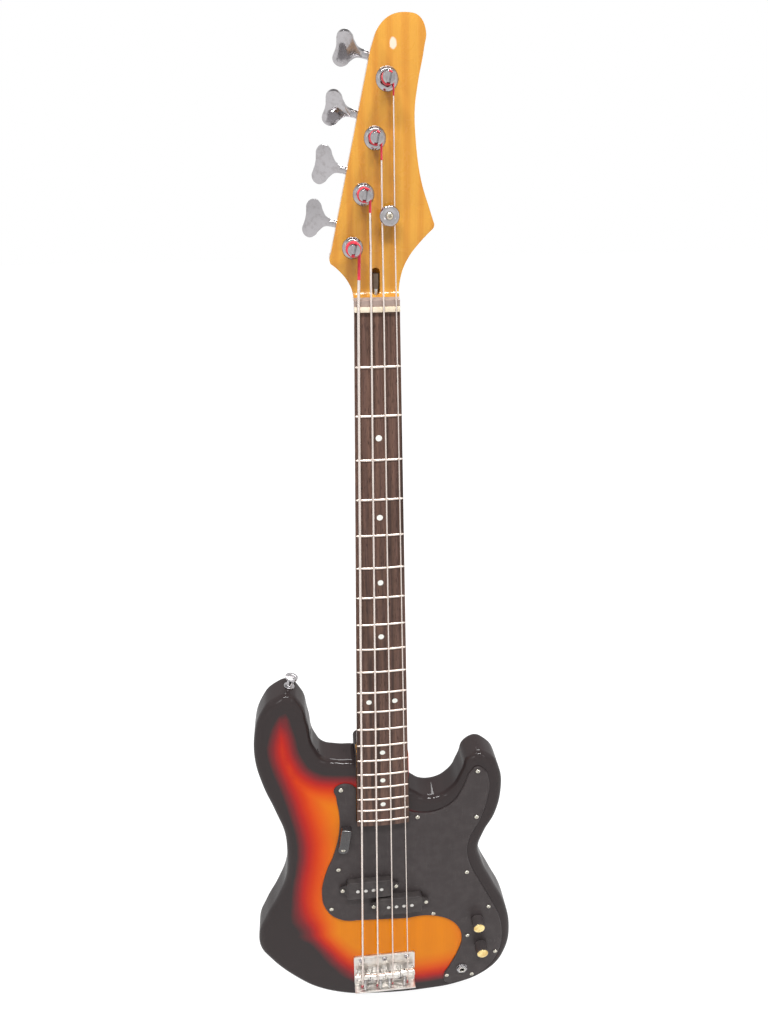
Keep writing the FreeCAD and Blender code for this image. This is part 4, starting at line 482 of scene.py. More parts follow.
@dataclass(frozen=True)
class AmberMaple(Finish):
    """Maple under amber-tinted gloss lacquer, with the chip that the head has."""

    light: tuple = tint(198, 142, 52)
    deep: tuple = tint(186, 121, 38)
    late_wood: tuple = tint(160, 92, 26)
    cloud_tint: tuple = tint(190, 122, 40)
    bare_wood: tuple = tint(236, 196, 176)
    rubbed_tint: tuple = tint(150, 96, 46)
    chip_place: tuple = (15.7, 4.9, 203.6)
    chip_size: tuple = (2.8, 6.0, 4.4)

    def chip(self, graph: Graph, place: object) -> Socket:
        """The soft oval chip in the head's lacquer.

        Args:
            graph: The material's graph.
            place: The point's place.

        Returns:
            A mask that is 1 in the chip.
        """
        centre = tuple(part * MM for part in self.chip_place)
        moved = graph.node("ShaderNodeVectorMath", {0: place, 1: centre}, operation="SUBTRACT")
        scale = tuple(1000.0 / half for half in self.chip_size)
        near = graph.node("ShaderNodeVectorMath", {0: graph.stretched(moved.outputs[0], scale)},
                          operation="LENGTH")
        uneven = graph.times(graph.noise(place, 320, 3, 0.6), 0.5)
        ragged = graph.plus(near.outputs["Value"], uneven)
        return graph.remap(ragged, 1.05, 1.35, 1, 0)

    def recipe(self, graph: Graph) -> dict[str, object]:
        """Warm even wood with slow figure, thin darker lines and a few marks of use."""
        place = graph.place()
        wood = graph.effect(EFFECTS.wood(), place=place, rings=520.0, swirl=13.0)
        rubbed = graph.times(graph.rubbed(place, 240.0, 0.8), 0.45)
        cloud = graph.drawn(place, (22, 22, 5), 3, 0.5)
        chip = self.chip(graph, place)
        colour = graph.mix(graph.remap(wood["Figure"], 0.1, 1, 0, 0.5), self.light, self.deep)
        for share, colour_over in (
                (graph.times(graph.remap(wood["Figure"], 0.9, 1.0), 0.10), self.late_wood),
                (graph.times(graph.remap(wood["Fibres"], 0.4, 0.75), 0.12), self.late_wood),
                (graph.remap(cloud, 0.4, 0.8, 0, 0.25), self.cloud_tint),
                (chip, self.bare_wood),
                (rubbed, self.rubbed_tint)):
            colour = graph.mix(share, colour, colour_over)
        marks = graph.effect(EFFECTS.handling(), place=place, scale=800.0)
        rough = graph.plus(graph.roughness(marks, 0.20, 0.36, 0.2), graph.times(chip, 0.25))
        height = graph.minus(graph.times(wood["Fibres"], 0.25), chip)
        return {"Base Color": colour, "Roughness": rough,
                "Normal": graph.bump(height, 0.12, 0.5), "Specular IOR Level": 0.2,
                "Coat Weight": graph.minus(0.5, graph.times(chip, 0.4)), "Coat Roughness": 0.06}


@dataclass(frozen=True)
class Rosewood(Finish):
    """Bare rosewood: brown with darker streaks, open pores and a dull sheen from playing, and a
    painted highlight on the strip behind the nut.
    """

    brown: tuple = tint(100, 74, 65)
    dark: tuple = tint(54, 39, 34)
    warm: tuple = tint(122, 90, 73)
    pore_tint: tuple = tint(22, 13, 11)
    # Painted highlight: a lighter colour on the strip behind the nut, standing in for the gloss
    # that catches the light there.
    nut_strip_painted_highlight: tuple = tint(160, 143, 135)
    worn_tint: tuple = tint(140, 104, 82)
    # Heights above the nut, in millimetres, over which the painted highlight fades in.
    painted_highlight_from: float = 0.8
    painted_highlight_to: float = 1.6

    def recipe(self, graph: Graph) -> dict[str, object]:
        """Streaks, fibres and pores along the board, and a painted highlight on the strip behind
        the nut.
        """
        place = graph.place()
        wood = graph.effect(EFFECTS.wood(), place=place, rings=900.0, swirl=20.0)
        streak = graph.drawn(place, (210, 210, 4), 4, 0.6)
        worn = graph.drawn(place, (60, 60, 26), 2, 0.5)
        # The share of the painted highlight on the strip behind the nut.
        behind = graph.remap(graph.parts(place)[2], self.painted_highlight_from * MM, self.painted_highlight_to * MM,
                             0, 0.85)
        colour = graph.mix(graph.remap(streak, 0.36, 0.66), self.brown, self.dark)
        for share, colour_over in (
                (graph.times(wood["Figure"], 0.3), self.warm),
                (graph.remap(wood["Fibres"], 0.45, 0.8, 0, 0.6), self.dark),
                (graph.times(wood["Pores"], 0.75), self.pore_tint),
                # The painted highlight behind the nut.
                (behind, self.nut_strip_painted_highlight),
                (graph.remap(worn, 0.55, 0.8, 0, 0.22), self.worn_tint)):
            colour = graph.mix(share, colour, colour_over)
        rough = graph.plus(graph.remap(worn, 0.4, 0.8, 0.52, 0.34),
                           graph.times(wood["Pores"], 0.25))
        height = graph.minus(graph.times(wood["Fibres"], 0.3), wood["Pores"])
        return {"Base Color": colour, "Roughness": rough,
                "Normal": graph.bump(height, 0.08, 0.7), "Specular IOR Level": 0.25}


@dataclass(frozen=True)
class Metal(Finish):
    """Plated, ground or cast metal, told apart by colour, polish and what shows at its edges."""

    colour: tuple
    edge: tuple
    tarnish: tuple
    polish: float
    haze: float
    wear: float
    spots: float
    grain: float = 0.0

    def recipe(self, graph: Graph) -> dict[str, object]:
        """Smudged reflections, hairlines, spots of tarnish and rubbed edges."""
        place = graph.place()
        marks = graph.effect(EFFECTS.handling(), place=place, scale=1600.0)
        specks = graph.effect(EFFECTS.specks(), place=place, scale=900.0)[0]
        rubbed = graph.rubbed(place, 700.0, 1.0)
        dulled = graph.remap(graph.noise(place, 240, 3, 0.6), 0.45, 0.75, 0, 0.35)
        colour = graph.mix(dulled, self.colour, self.tarnish)
        colour = graph.mix(graph.times(specks, self.spots), colour, self.tarnish)
        colour = graph.mix(graph.times(rubbed, self.wear), colour, self.edge)
        rough = graph.plus(graph.roughness(marks, self.polish, self.polish + self.haze, 0.18),
                           graph.times(specks, self.spots * 0.4))
        height = graph.plus(graph.times(graph.drawn(place, (5200, 5200, 260), 2, 0.5), self.grain),
                            graph.times(specks, -self.spots))
        height = graph.plus(height, graph.times(graph.noise(place, 420, 2, 0.5), 0.6))
        return {"Base Color": colour, "Roughness": rough,
                "Normal": graph.bump(height, 0.02, 0.6), "Metallic": 1.0}


@dataclass(frozen=True)
class Plastic(Finish):
    """Moulded or sheet plastic, bone or fibre."""

    colour: tuple
    mottle: tuple
    worn: tuple
    gloss: float
    haze: float
    wear: float
    texture_mm: float
    texture_scale: float
    dust: float
    shine: float = 0.5
    dust_tint: tuple = tint(170, 166, 160)

    def recipe(self, graph: Graph) -> dict[str, object]:
        """Faint mottling, a moulded skin, hairlines, dust and rubbed edges."""
        place = graph.place()
        marks = graph.effect(EFFECTS.handling(), place=place, scale=1100.0)
        specks = graph.effect(EFFECTS.specks(), place=place, scale=620.0)[0]
        rubbed = graph.rubbed(place, 420.0, 0.9)
        film = graph.plus(graph.times(specks, self.dust),
                          graph.times(marks["Hairlines"], self.dust * 0.35))
        colour = graph.mix(graph.remap(graph.noise(place, 70, 4, 0.6), 0.35, 0.7),
                           self.colour, self.mottle)
        colour = graph.mix(graph.times(rubbed, self.wear), colour, self.worn)
        height = graph.plus(graph.noise(place, self.texture_scale, 2, 0.6),
                            graph.times(marks["Hairlines"], -0.5))
        return {"Base Color": graph.mix(film, colour, self.dust_tint),
                "Roughness": graph.roughness(marks, self.gloss, self.gloss + self.haze, 0.22),
                "Normal": graph.bump(height, self.texture_mm, 0.7),
                "Specular IOR Level": self.shine}


@dataclass(frozen=True)
class Pearl(Finish):
    """Pale pearl plastic of the position marks, with drifting bands of sheen."""

    stops: tuple = ((0.0, tint(198, 200, 190)), (0.42, tint(236, 234, 222)),
                    (0.5, tint(214, 222, 220)), (0.6, tint(244, 238, 228)),
                    (1.0, tint(206, 204, 196)))

    def recipe(self, graph: Graph) -> dict[str, object]:
        """Thin folded bands between warm and cool white."""
        place = graph.place()
        fold = graph.drawn(place, (420, 420, 300), 4, 0.7, 2.5)
        return {"Base Color": graph.ramp(fold, self.stops),
                "Roughness": graph.remap(fold, 0.3, 0.7, 0.18, 0.34),
                "Normal": graph.bump(graph.noise(place, 900, 2), 0.01, 0.5)}


@dataclass(frozen=True)
class Wound(Finish):
    """What is wound on a string and follows its length and girth."""

    pitch_mm: float = 0.42

    def turns(self, graph: Graph, roundness: float) -> Socket:
        """One helix of rounded ridges, from 0 between the turns to 1 on them."""
        turn = graph.plus(graph.maths("DIVIDE", graph.attribute("along"), self.pitch_mm * MM),
                          graph.attribute("girth"))
        wave = graph.maths("ABSOLUTE", graph.maths("SINE", graph.times(turn, math.pi)))
        return graph.maths("POWER", wave, roundness)


@dataclass(frozen=True)
class WoundWire(Wound):
    """Round wire wound on a core."""

    groove_mm: float = 0.05
    colour: tuple = tint(238, 226, 218)
    # Painted shade in the grooves between the turns; the same colour also serves as finger grime.
    shade: tuple = tint(146, 136, 130)

    def recipe(self, graph: Graph) -> dict[str, object]:
        """Painted shade darkens the grooves between the turns, and grime darkens the wire where
        fingers touch.
        """
        ridge = self.turns(graph, 0.6)
        grime = graph.drawn(graph.place(), (300, 300, 60), 3, 0.6)
        # Painted shade: the grooves between the turns get the darker colour.
        colour = graph.mix(graph.remap(ridge, 0.1, 0.75), self.shade, self.colour)
        colour = graph.mix(graph.remap(grime, 0.5, 0.75, 0, 0.35), colour, self.shade)
        return {"Base Color": colour, "Roughness": graph.remap(grime, 0.35, 0.75, 0.24, 0.44),
                "Normal": graph.bump(ridge, self.groove_mm, 0.8), "Metallic": 1.0}


@dataclass(frozen=True)
class SilkThread(Wound):
    """Fine coloured thread served round the ends of a string."""

    pitch_mm: float = 0.32
    colour: tuple = tint(222, 26, 58)
    # Painted shade between the turns of thread, also the uneven tone of the fibres.
    dark: tuple = tint(142, 12, 36)
    faded: tuple = tint(226, 84, 92)

    def recipe(self, graph: Graph) -> dict[str, object]:
        """Close turns of matt thread with loose fibres; the darker red between the turns is painted
        shade, and the fibres vary it at random.
        """
        place = graph.place()
        fibre = graph.noise(place, 5200, 2, 0.6)
        cover = graph.times(self.turns(graph, 0.5), graph.remap(fibre, 0.2, 0.7, 0.6, 1))
        # Painted shade: low cover between the turns takes the darker red.
        colour = graph.mix(graph.remap(cover, 0.1, 0.8), self.dark, self.colour)
        fade = graph.remap(graph.noise(place, 180, 2), 0.45, 0.8, 0, 0.35)
        return {"Base Color": graph.mix(fade, colour, self.faded),
                "Roughness": graph.remap(fibre, 0.3, 0.7, 0.55, 0.8),
                "Normal": graph.bump(cover, 0.06, 0.9), "Sheen Weight": 0.4}


@dataclass(frozen=True)
class TurnedCap(Finish):
    """Spun metal cap of a knob: fine rings about the knob's own axis."""

    centre: tuple = (0.0, 0.0)
    ring_pitch: float = 0.35
    colour: tuple = tint(244, 222, 158)
    shade: tuple = tint(204, 168, 96)
    rubbed_tint: tuple = tint(200, 196, 186)

    def recipe(self, graph: Graph) -> dict[str, object]:
        """Rings from the distance to the axis, broken by handling."""
        place = graph.place()
        split = graph.parts(place)
        across = graph.minus(split[0], self.centre[0] * MM)
        along = graph.minus(split[2], self.centre[1] * MM)
        reach = graph.maths("SQRT", graph.plus(graph.times(across, across),
                                               graph.times(along, along)))
        rings = graph.maths("SINE", graph.times(reach, 2 * math.pi / (self.ring_pitch * MM)))
        marks = graph.effect(EFFECTS.handling(), place=place, scale=1500.0)
        colour = graph.mix(graph.remap(marks["Smudge"], 0.35, 0.75), self.colour, self.shade)
        rubbed = graph.times(graph.rubbed(place, 900.0, 1.0), 0.5)
        return {"Base Color": graph.mix(rubbed, colour, self.rubbed_tint),
                "Roughness": graph.roughness(marks, 0.24, 0.36, 0.2),
                "Normal": graph.bump(rings, 0.012, 0.6), "Metallic": 0.85}


@dataclass(frozen=True)
class CoilWire(Finish):
    """Thousands of turns of enamelled wire round a pickup's bobbin."""

    turn_pitch: float = 0.12
    dark: tuple = tint(150, 74, 34)
    light: tuple = tint(206, 122, 70)
    # Painted shade in the grooves between the turns of wire.
    between: tuple = tint(70, 30, 16)

    def recipe(self, graph: Graph) -> dict[str, object]:
        """Fine level ridges with uneven colour from layer to layer, and painted shade in the
        grooves between the turns.
        """
        place = graph.place()
        turns = graph.maths("SINE", graph.times(graph.parts(place)[1],
                                                2 * math.pi / (self.turn_pitch * MM)))
        layers = graph.drawn(place, (60, 2600, 60), 3, 0.6)
        colour = graph.mix(graph.remap(layers, 0.35, 0.7), self.dark, self.light)
        # Painted shade: the grooves between the turns are mixed towards the darker colour.
        return {"Base Color": graph.mix(graph.remap(turns, -1, 0.2, 0.5, 0), colour, self.between),
                "Roughness": graph.remap(layers, 0.3, 0.7, 0.3, 0.5),
                "Normal": graph.bump(turns, 0.03, 0.8), "Metallic": 0.6}


class Finishes:
    """Every finish of the instrument under the name of its material slot."""

    # Colour, colour of the rubbed edges, tarnish; polish, haze, wear, spots and grain.
    METALS = {
        "nickel_silver": ((226, 212, 202), (234, 224, 214), (190, 176, 162), 0.34, 0.14, 0.3, 0.2),
        "plain_steel": ((196, 194, 191), (214, 212, 208), (140, 130, 120),
                        0.28, 0.2, 0.6, 0.6, 1.0),
        "chrome_plate": ((172, 169, 171), (150, 142, 132), (118, 110, 108), 0.07, 0.14, 0.35, 0.35),
        "bridge_chrome": ((216, 212, 207), (200, 194, 186), (166, 160, 154), 0.34, 0.16, 0.3, 0.3),
        "dark_steel": ((112, 98, 86), (150, 140, 130), (70, 60, 54), 0.3, 0.2, 0.5, 0.6, 1.0),
        "chrome_screws": ((172, 169, 171), (150, 142, 132), (118, 110, 108), 0.14, 0.18, 0.5, 0.6),
        "nickel_screws": ((204, 200, 188), (222, 214, 196), (128, 116, 96), 0.2, 0.18, 0.5, 0.7),
        "magnet_steel": ((204, 202, 198), (226, 224, 220), (120, 108, 96),
                         0.24, 0.16, 0.5, 0.6, 0.5),
        "jack_metal": ((206, 204, 200), (214, 206, 186), (120, 110, 96), 0.14, 0.16, 0.6, 0.5),
        "saddle_steel": ((224, 219, 213), (200, 193, 184), (150, 144, 138), 0.2, 0.16, 0.5, 0.5),
        "ball_brass": ((214, 178, 104), (236, 212, 150), (132, 98, 52), 0.2, 0.16, 0.5, 0.5),
        "gear_brass": ((208, 174, 110), (236, 212, 158), (130, 100, 58), 0.18, 0.18, 0.6, 0.5, 0.3),
        "cream_screw": ((196, 188, 172), (206, 198, 184), (130, 120, 104), 0.24, 0.16, 0.4, 0.6),
    }
    # Colour, mottling, worn edges; gloss, haze, wear, skin's depth and scale, dust and shine.
    PLASTICS = {
        "bone": ((222, 208, 188), (210, 194, 168), (232, 222, 204),
                 0.28, 0.12, 0.4, 0.015, 600.0, 0.1),
        "black_guard": ((62, 56, 56), (68, 62, 62), (110, 104, 104),
                        0.30, 0.16, 0.3, 0.006, 700.0, 0.12, 0.12),
        "black_plastic": ((44, 41, 42), (52, 48, 49), (112, 108, 106),
                          0.12, 0.12, 0.45, 0.004, 900.0, 0.15, 0.7),
        "pickup_plastic": ((58, 53, 53), (68, 63, 62), (112, 106, 102),
                           0.34, 0.2, 0.5, 0.01, 2600.0, 0.25, 0.16),
        "black_fibre": ((36, 35, 37), (52, 50, 50), (92, 90, 88),
                        0.55, 0.2, 0.4, 0.03, 1800.0, 0.2),
        "foam_rubber": ((58, 57, 58), (30, 30, 31), (80, 78, 78), 0.8, 0.15, 0.2, 0.4, 900.0, 0.2),
        "capacitor_shell": ((170, 88, 34), (150, 72, 26), (196, 132, 84),
                            0.25, 0.1, 0.3, 0.03, 500.0, 0.1),
        "knob_skirt": ((62, 57, 57), (72, 66, 66), (140, 130, 122),
                       0.3, 0.14, 0.5, 0.006, 1500.0, 0.22, 0.16),
    }

    def __init__(self) -> None:
        """Lists the finishes; a material is built when a piece first asks for it."""
        self.made: dict[str, bpy.types.Material] = {}
        self.rows: dict[str, Finish] = {}
        for finish in (BurstLacquer("sunburst_lacquer"), AmberMaple("maple_lacquer"),
                       Rosewood("rosewood"), Pearl("pearl"), CoilWire("copper_wire"),
                       WoundWire("string_steel"), SilkThread("red_silk")):
            self.add(finish)
        for kind, rows in ((Metal, self.METALS), (Plastic, self.PLASTICS)):
            for name, (first, second, third, *values) in rows.items():
                self.add(kind(name, tint(*first), tint(*second), tint(*third), *values))

    def add(self, finish: Finish) -> None:
        """Lists one more finish, such as one that is centred on a piece."""
        self.rows[finish.name] = finish

    def material(self, name: str) -> bpy.types.Material:
        """The material of a finish, built once."""
        if name not in self.made:
            self.made[name] = self.rows[name].build()
        return self.made[name]


FINISHES = Finishes()


class Workbench:
    """Hands on meshes: copies nodes, rounds edges, marks wear and fits pieces to bodies.

    Its own distances are in metres.
    """

    EDGE_ANGLE = math.radians(34)
    SMOOTH_ANGLE = math.radians(38)
    FLAT_ANGLE = math.radians(0.4)
    WELD_DISTANCE = 2e-6
    NO_LENGTH = 1e-6
    SHORTEST_STEP = 2e-4
    BEND_GAIN = 1.6

    @classmethod
    def welded(cls, node: str) -> bmesh.types.BMesh:
        """A copy of a construction node's mesh with its loose triangles joined.

        Args:
            node: The node's name.

        Returns:
            The joined mesh.
        """
        source = bmesh.new()
        source.from_mesh(frame["nodes"][node].data)
        bmesh.ops.remove_doubles(source, verts=source.verts, dist=cls.WELD_DISTANCE)
        bmesh.ops.dissolve_degenerate(source, edges=source.edges, dist=cls.NO_LENGTH)
        return source

    @classmethod
    def loose_parts(cls, node: str) -> list[np.ndarray]:
        """The corner points of each separate solid in a node.

        Args:
            node: The node's name.

        Returns:
            One array of points for each solid.
        """
        joined = cls.welded(node)
        seen: set[int] = set()
        parts = []
        joined.verts.ensure_lookup_table()
        for start in joined.verts:
            if start.index in seen:
                continue
            stack, found = [start], []
            seen.add(start.index)
            while stack:
                vertex = stack.pop()
                found.append(tuple(vertex.co))
                for edge in vertex.link_edges:
                    other = edge.other_vert(vertex)
                    if other.index not in seen:
                        seen.add(other.index)
                        stack.append(other)
            parts.append(np.array(found))
        joined.free()
        return parts

    @classmethod
    def part_boxes(cls, node: str) -> list[tuple[np.ndarray, np.ndarray, np.ndarray]]:
        """The low corner, the middle and the high corner of each separate solid in a node."""
        ends = [(points.min(0), points.max(0)) for points in cls.loose_parts(node)]
        return [(low, (low + high) / 2, high) for low, high in ends]

    @staticmethod
    def write(mesh: bpy.types.Mesh, title: str, values: np.ndarray) -> None:
        """Stores a number for each corner point of a mesh, for its finish to read."""
        mark = mesh.attributes.new(title, "FLOAT", "POINT")
        mark.data.foreach_set("value", values.astype(np.float32))

    @classmethod
    def mark_bend(cls, mesh: bpy.types.Mesh) -> None:
        """Writes how sharply a mesh bends outwards at each corner, from 0 to 1.

        Args:
            mesh: The mesh, which gets the numbers as its own "bend".
        """
        count = len(mesh.vertices)
        places, normals = np.empty(count * 3), np.empty(count * 3)
        mesh.vertices.foreach_get("co", places)
        mesh.vertices.foreach_get("normal", normals)
        pairs = np.empty(len(mesh.edges) * 2, dtype=np.int64)
        mesh.edges.foreach_get("vertices", pairs)
        places, normals, pairs = places.reshape(-1, 3), normals.reshape(-1, 3), pairs.reshape(-1, 2)
        step = places[pairs[:, 1]] - places[pairs[:, 0]]
        length = np.maximum(np.linalg.norm(step, axis=1), cls.SHORTEST_STEP)
        turn = ((normals[pairs[:, 1]] - normals[pairs[:, 0]]) * step).sum(1) / length
        total, number = np.zeros(count), np.zeros(count)
        for column in (0, 1):
            np.add.at(total, pairs[:, column], turn)
            np.add.at(number, pairs[:, column], 1)
        cls.write(mesh, "bend", np.clip(total / np.maximum(number, 1) * cls.BEND_GAIN, 0, 1))

    @staticmethod
    def mesh_of(built: bmesh.types.BMesh, name: str) -> bpy.types.Mesh:
        """Turns a built mesh, which is freed, into one that an object can have."""
        mesh = bpy.data.meshes.new(name)
        built.to_mesh(mesh)
        built.free()
        return mesh

    @classmethod
    def shade(cls, mesh: bpy.types.Mesh, smooth: float) -> None:
        """Smooths the faces, keeps folds above an angle sharp and marks the bends."""
        mesh.shade_smooth()
        mesh.set_sharp_from_angle(angle=smooth)
        cls.mark_bend(mesh)

    @staticmethod
    def bake(host: bpy.types.Object) -> None:
        """Gives an object the plain mesh that its modifiers make, and drops the old one.

        Args:
            host: The object, which has no modifier left.
        """
        graph = bpy.context.evaluated_depsgraph_get()
        graph.update()
        source = host.data
        result = bpy.data.meshes.new_from_object(
            host.evaluated_get(graph), preserve_all_data_layers=True, depsgraph=graph)
        host.modifiers.clear()
        host.data = result
        bpy.data.meshes.remove(source)

    @classmethod
    def finish_mesh(cls, built: bmesh.types.BMesh, name: str, smooth: float) -> bpy.types.Object:
        """Turns a built mesh into an object with smooth faces and sharp folds.

        Args:
            built: The mesh, which is freed.
            name: The object's name.
            smooth: The angle, in radians, above which an edge stays sharp.

        Returns:
            The new object.
        """
        mesh = cls.mesh_of(built, name)
        for title in ("custom_normal", "sharp_face", "sharp_edge"):
            if title in mesh.attributes:
                mesh.attributes.remove(mesh.attributes[title])
        cls.shade(mesh, smooth)
        return placed(name, mesh)

    @classmethod
    def flattened(cls, built: bmesh.types.BMesh) -> bmesh.types.BMesh:
        """Joins the triangles that lie in one plane."""
        bmesh.ops.dissolve_limit(built, angle_limit=cls.FLAT_ANGLE, verts=built.verts,
                                 edges=built.edges)
        return built

    @classmethod
    def skin(cls, node: str, edge_mm: float, segments: int) -> bpy.types.Object:
        """A piece with a construction node's own shape, whose edges are slightly rounded.

        Args:
            node: The node's name.
            edge_mm: The width of the rounded edges, or 0 for none.
            segments: How many faces round each edge.

        Returns:
            The new piece, not yet dressed.
        """
        built = cls.flattened(cls.welded(node))
        if edge_mm:
            sharp = [edge for edge in built.edges
                     if len(edge.link_faces) == 2 and edge.calc_face_angle(0) > cls.EDGE_ANGLE]
            bmesh.ops.bevel(built, geom=sharp, offset=edge_mm * MM, offset_type="OFFSET",
                            segments=segments, profile=0.5, affect="EDGES", clamp_overlap=True,
                            harden_normals=False)
        return cls.finish_mesh(built, node + "_look", cls.SMOOTH_ANGLE)

    @staticmethod
    def dress(piece: bpy.types.Object, finish: str, body: str = STATIC,
              *nodes: str) -> bpy.types.Object:
        """Gives a piece its finish, lets it ride on a body and stand for nodes.

        Args:
            piece: The piece.
            finish: The name of its finish.
            body: The body that it moves with.
            nodes: The construction nodes that it stands for.

        Returns:
            The same piece.
        """
        if not piece.data.materials:
            piece.data.materials.append(FINISHES.material(finish))
        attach(piece, body)
        if nodes:
            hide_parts(*nodes)
        return piece

    @classmethod
    def reskin(cls, node: str, finish: str, edge_mm: float = 0.0, body: str = STATIC,
               segments: int = 2, slot: str = "") -> bpy.types.Object:
        """Replaces a node by its own shape with rounded edges, dressed in a finish.

        Args:
            node: The node's name.
            finish: The name of the finish.
            edge_mm: The width of the rounded edges.
            body: The body that the piece moves with.
            segments: How many faces round each edge.
            slot: The record's slot, where the finish is a variant of it.

        Returns:
            The new piece.
        """
        made = cls.skin(node, edge_mm, segments)
        made.data.materials.append(FINISHES.material(finish))
        return cls.dress(made, slot or finish, body, node)

    @staticmethod
    def paint(node: str, finish: str) -> None:
        """Gives a construction node that stays in view, or inside, its finish.

        Args:
            node: The node's name.
            finish: The name of the finish.
        """
        data = frame["nodes"][node].data
        material = FINISHES.material(finish)
        if data.materials:
            for index in range(len(data.materials)):
                data.materials[index] = material
        else:
            data.materials.append(material)

    @classmethod
    def dress_rows(cls, skins: dict[str, tuple[str, float]], painted: dict[str, str]) -> None:
        """Gives each node in a table its finish.

        Args:
            skins: Finish and width of the rounded edges of the nodes that get a new skin.
            painted: Finish of the nodes that are painted as they are.
        """
        for node, (finish, edge_mm) in skins.items():
            cls.reskin(node, finish, edge_mm)
        for node, finish in painted.items():
            cls.paint(node, finish)

    @staticmethod
    def lathe(profile: Sequence[tuple[float, float]], sides: int) -> bmesh.types.BMesh:
        """A turned shape about the Z axis.

        Args:
            profile: Radius and height pairs in millimetres, from the axis out and back to it.
            sides: How many faces go round.

        Returns:
            The mesh, closed and facing outwards.
        """
        built = bmesh.new()
        rings = []
        for radius, height in profile:
            count = sides if radius else 1
            angles = [2 * math.pi * side / sides for side in range(count)]
            rings.append([built.verts.new((radius * MM * math.cos(angle),
                                           radius * MM * math.sin(angle), height * MM))
                          for angle in angles])
        for low, high in zip(rings, rings[1:]):
            for side in range(sides):
                after = (side + 1) % sides
                corners = [low[side % len(low)], low[after % len(low)], high[after % len(high)],
                           high[side % len(high)]]
                unique = list(dict.fromkeys(corners))
                if len(unique) > 2:
                    built.faces.new(unique)
        bmesh.ops.recalc_face_normals(built, faces=built.faces)
        return built


class Trees:
    """Geometry Nodes trees for what repeats or follows a path."""

    FLOAT, WHOLE, OBJECT = "NodeSocketFloat", "NodeSocketInt", "NodeSocketObject"
    GEOMETRY, FINISH = "NodeSocketGeometry", "NodeSocketMaterial"
    WIRE_SPANS = 25
    CROWN_SIDES = 20
    CROWN_END = 0.45
    COIL_STEPS = 28
    COIL_SIDES = 10

    def __init__(self) -> None:
        """Starts with no tree built."""
        self.built: dict[str, bpy.types.NodeTree] = {}

    def _tree(self, name: str, inputs: dict[str, str],
              recipe: Callable[[Graph, dict], Socket]) -> bpy.types.NodeTree:
        """Builds a tree from its recipe, or returns the one that is there.

        Args:
            name: The tree's name.
            inputs: The socket type of each input but the geometry and the finish.
            recipe: Makes the geometry and returns its socket.

        Returns:
            The tree, which ends in Realize Instances and Set Material.
        """
        if name in self.built:
            return self.built[name]
        tree = bpy.data.node_groups.new(name, "GeometryNodeTree")
        for title, kind in {"Geometry": self.GEOMETRY, "Finish": self.FINISH, **inputs}.items():
            tree.interface.new_socket(title, in_out="INPUT", socket_type=kind)
        tree.interface.new_socket("Geometry", in_out="OUTPUT", socket_type=self.GEOMETRY)
        graph = Graph(tree)
        given = graph.node("NodeGroupInput").outputs
        real = graph.node("GeometryNodeRealizeInstances", {0: recipe(graph, given)})
        dressed = graph.node("GeometryNodeSetMaterial",
                             {"Geometry": real.outputs[0], "Material": given["Finish"]})
        graph.node("NodeGroupOutput", {0: dressed.outputs[0]})
        self.built[name] = tree
        return tree

    @staticmethod
    def _named(graph: Graph, name: str, kind: str) -> Socket:
        """The value of a point's own attribute."""
        return graph.node("GeometryNodeInputNamedAttribute", {"Name": name},
                          data_type=kind).outputs["Attribute"]

    @staticmethod
    def _used(sockets: Sequence[Socket], name: str) -> Socket:
        """The socket of that name that is in use, where a node has several."""
        return next(socket for socket in sockets if socket.name == name and socket.enabled)

    def _store(self, graph: Graph, shape: Socket, name: str, value: Socket) -> Socket:
        """Stores a value on each point of a shape under a name."""
        made = graph.node("GeometryNodeStoreNamedAttribute", {"Geometry": shape, "Name": name},
                          data_type="FLOAT", domain="POINT")
        graph.feed(self._used(made.inputs, "Value"), value)
        return made.outputs[0]

    @staticmethod
    def _rows(graph: Graph, given: dict, instance: Socket, size: Socket,
              turn: Optional[Socket] = None) -> Socket:
        """One copy of a shape on each point."""
        return graph.node("GeometryNodeInstanceOnPoints",
                          {"Points": given["Geometry"], "Instance": instance, "Rotation": turn,
                           "Scale": size}).outputs[0]

    @staticmethod
    def _circle(graph: Graph, sides: object, radius: object) -> Socket:
        """A round section."""
        return graph.node("GeometryNodeCurvePrimitiveCircle",
                          {"Resolution": sides, "Radius": radius}).outputs[0]

    @staticmethod
    def _swept(graph: Graph, path: Socket, section: Socket) -> bpy.types.Node:
        """A section drawn along a path, with closed ends."""
        return graph.node("GeometryNodeCurveToMesh",
                          {"Curve": path, "Profile Curve": section, "Fill Caps": True})

    @staticmethod
    def _smooth(graph: Graph, tube: bpy.types.Node) -> Socket:
        """A tube with smooth faces."""
        return graph.node("GeometryNodeSetShadeSmooth", {"Geometry": tube.outputs[0]}).outputs[0]

    def fasteners(self) -> bpy.types.NodeTree:
        """Sets a head on each point, its axis along the point's way and its recess turned.

        Returns:
            The tree.
        """
        def recipe(graph: Graph, given: dict) -> Socket:
            """Instances of the head, aligned, given a random turn and sized."""
            head = graph.node("GeometryNodeObjectInfo", {"Object": given["Head"]},
                              transform_space="ORIGINAL")
            align = graph.node("FunctionNodeAlignRotationToVector",
                               {"Vector": self._named(graph, "way", "FLOAT_VECTOR")}, axis="Z")
            chance = graph.node("FunctionNodeRandomValue", {"Seed": given["Turn Seed"]},
                                data_type="FLOAT")
            graph.feed(self._used(chance.inputs, "Min"), 0.0)
            graph.feed(self._used(chance.inputs, "Max"), 2 * math.pi)
            spun = graph.node("FunctionNodeAxisAngleToRotation",
                              {"Axis": (0, 0, 1), "Angle": self._used(chance.outputs, "Value")})
            both = graph.node("FunctionNodeRotateRotation",
                              {0: align.outputs[0], 1: spun.outputs[0]}, rotation_space="LOCAL")
            size = self._named(graph, "size", "FLOAT_VECTOR")
            return self._rows(graph, given, head.outputs["Geometry"], size, both.outputs[0])
        return self._tree("fasteners in a row", {"Head": self.OBJECT, "Turn Seed": self.WHOLE},
                          recipe)

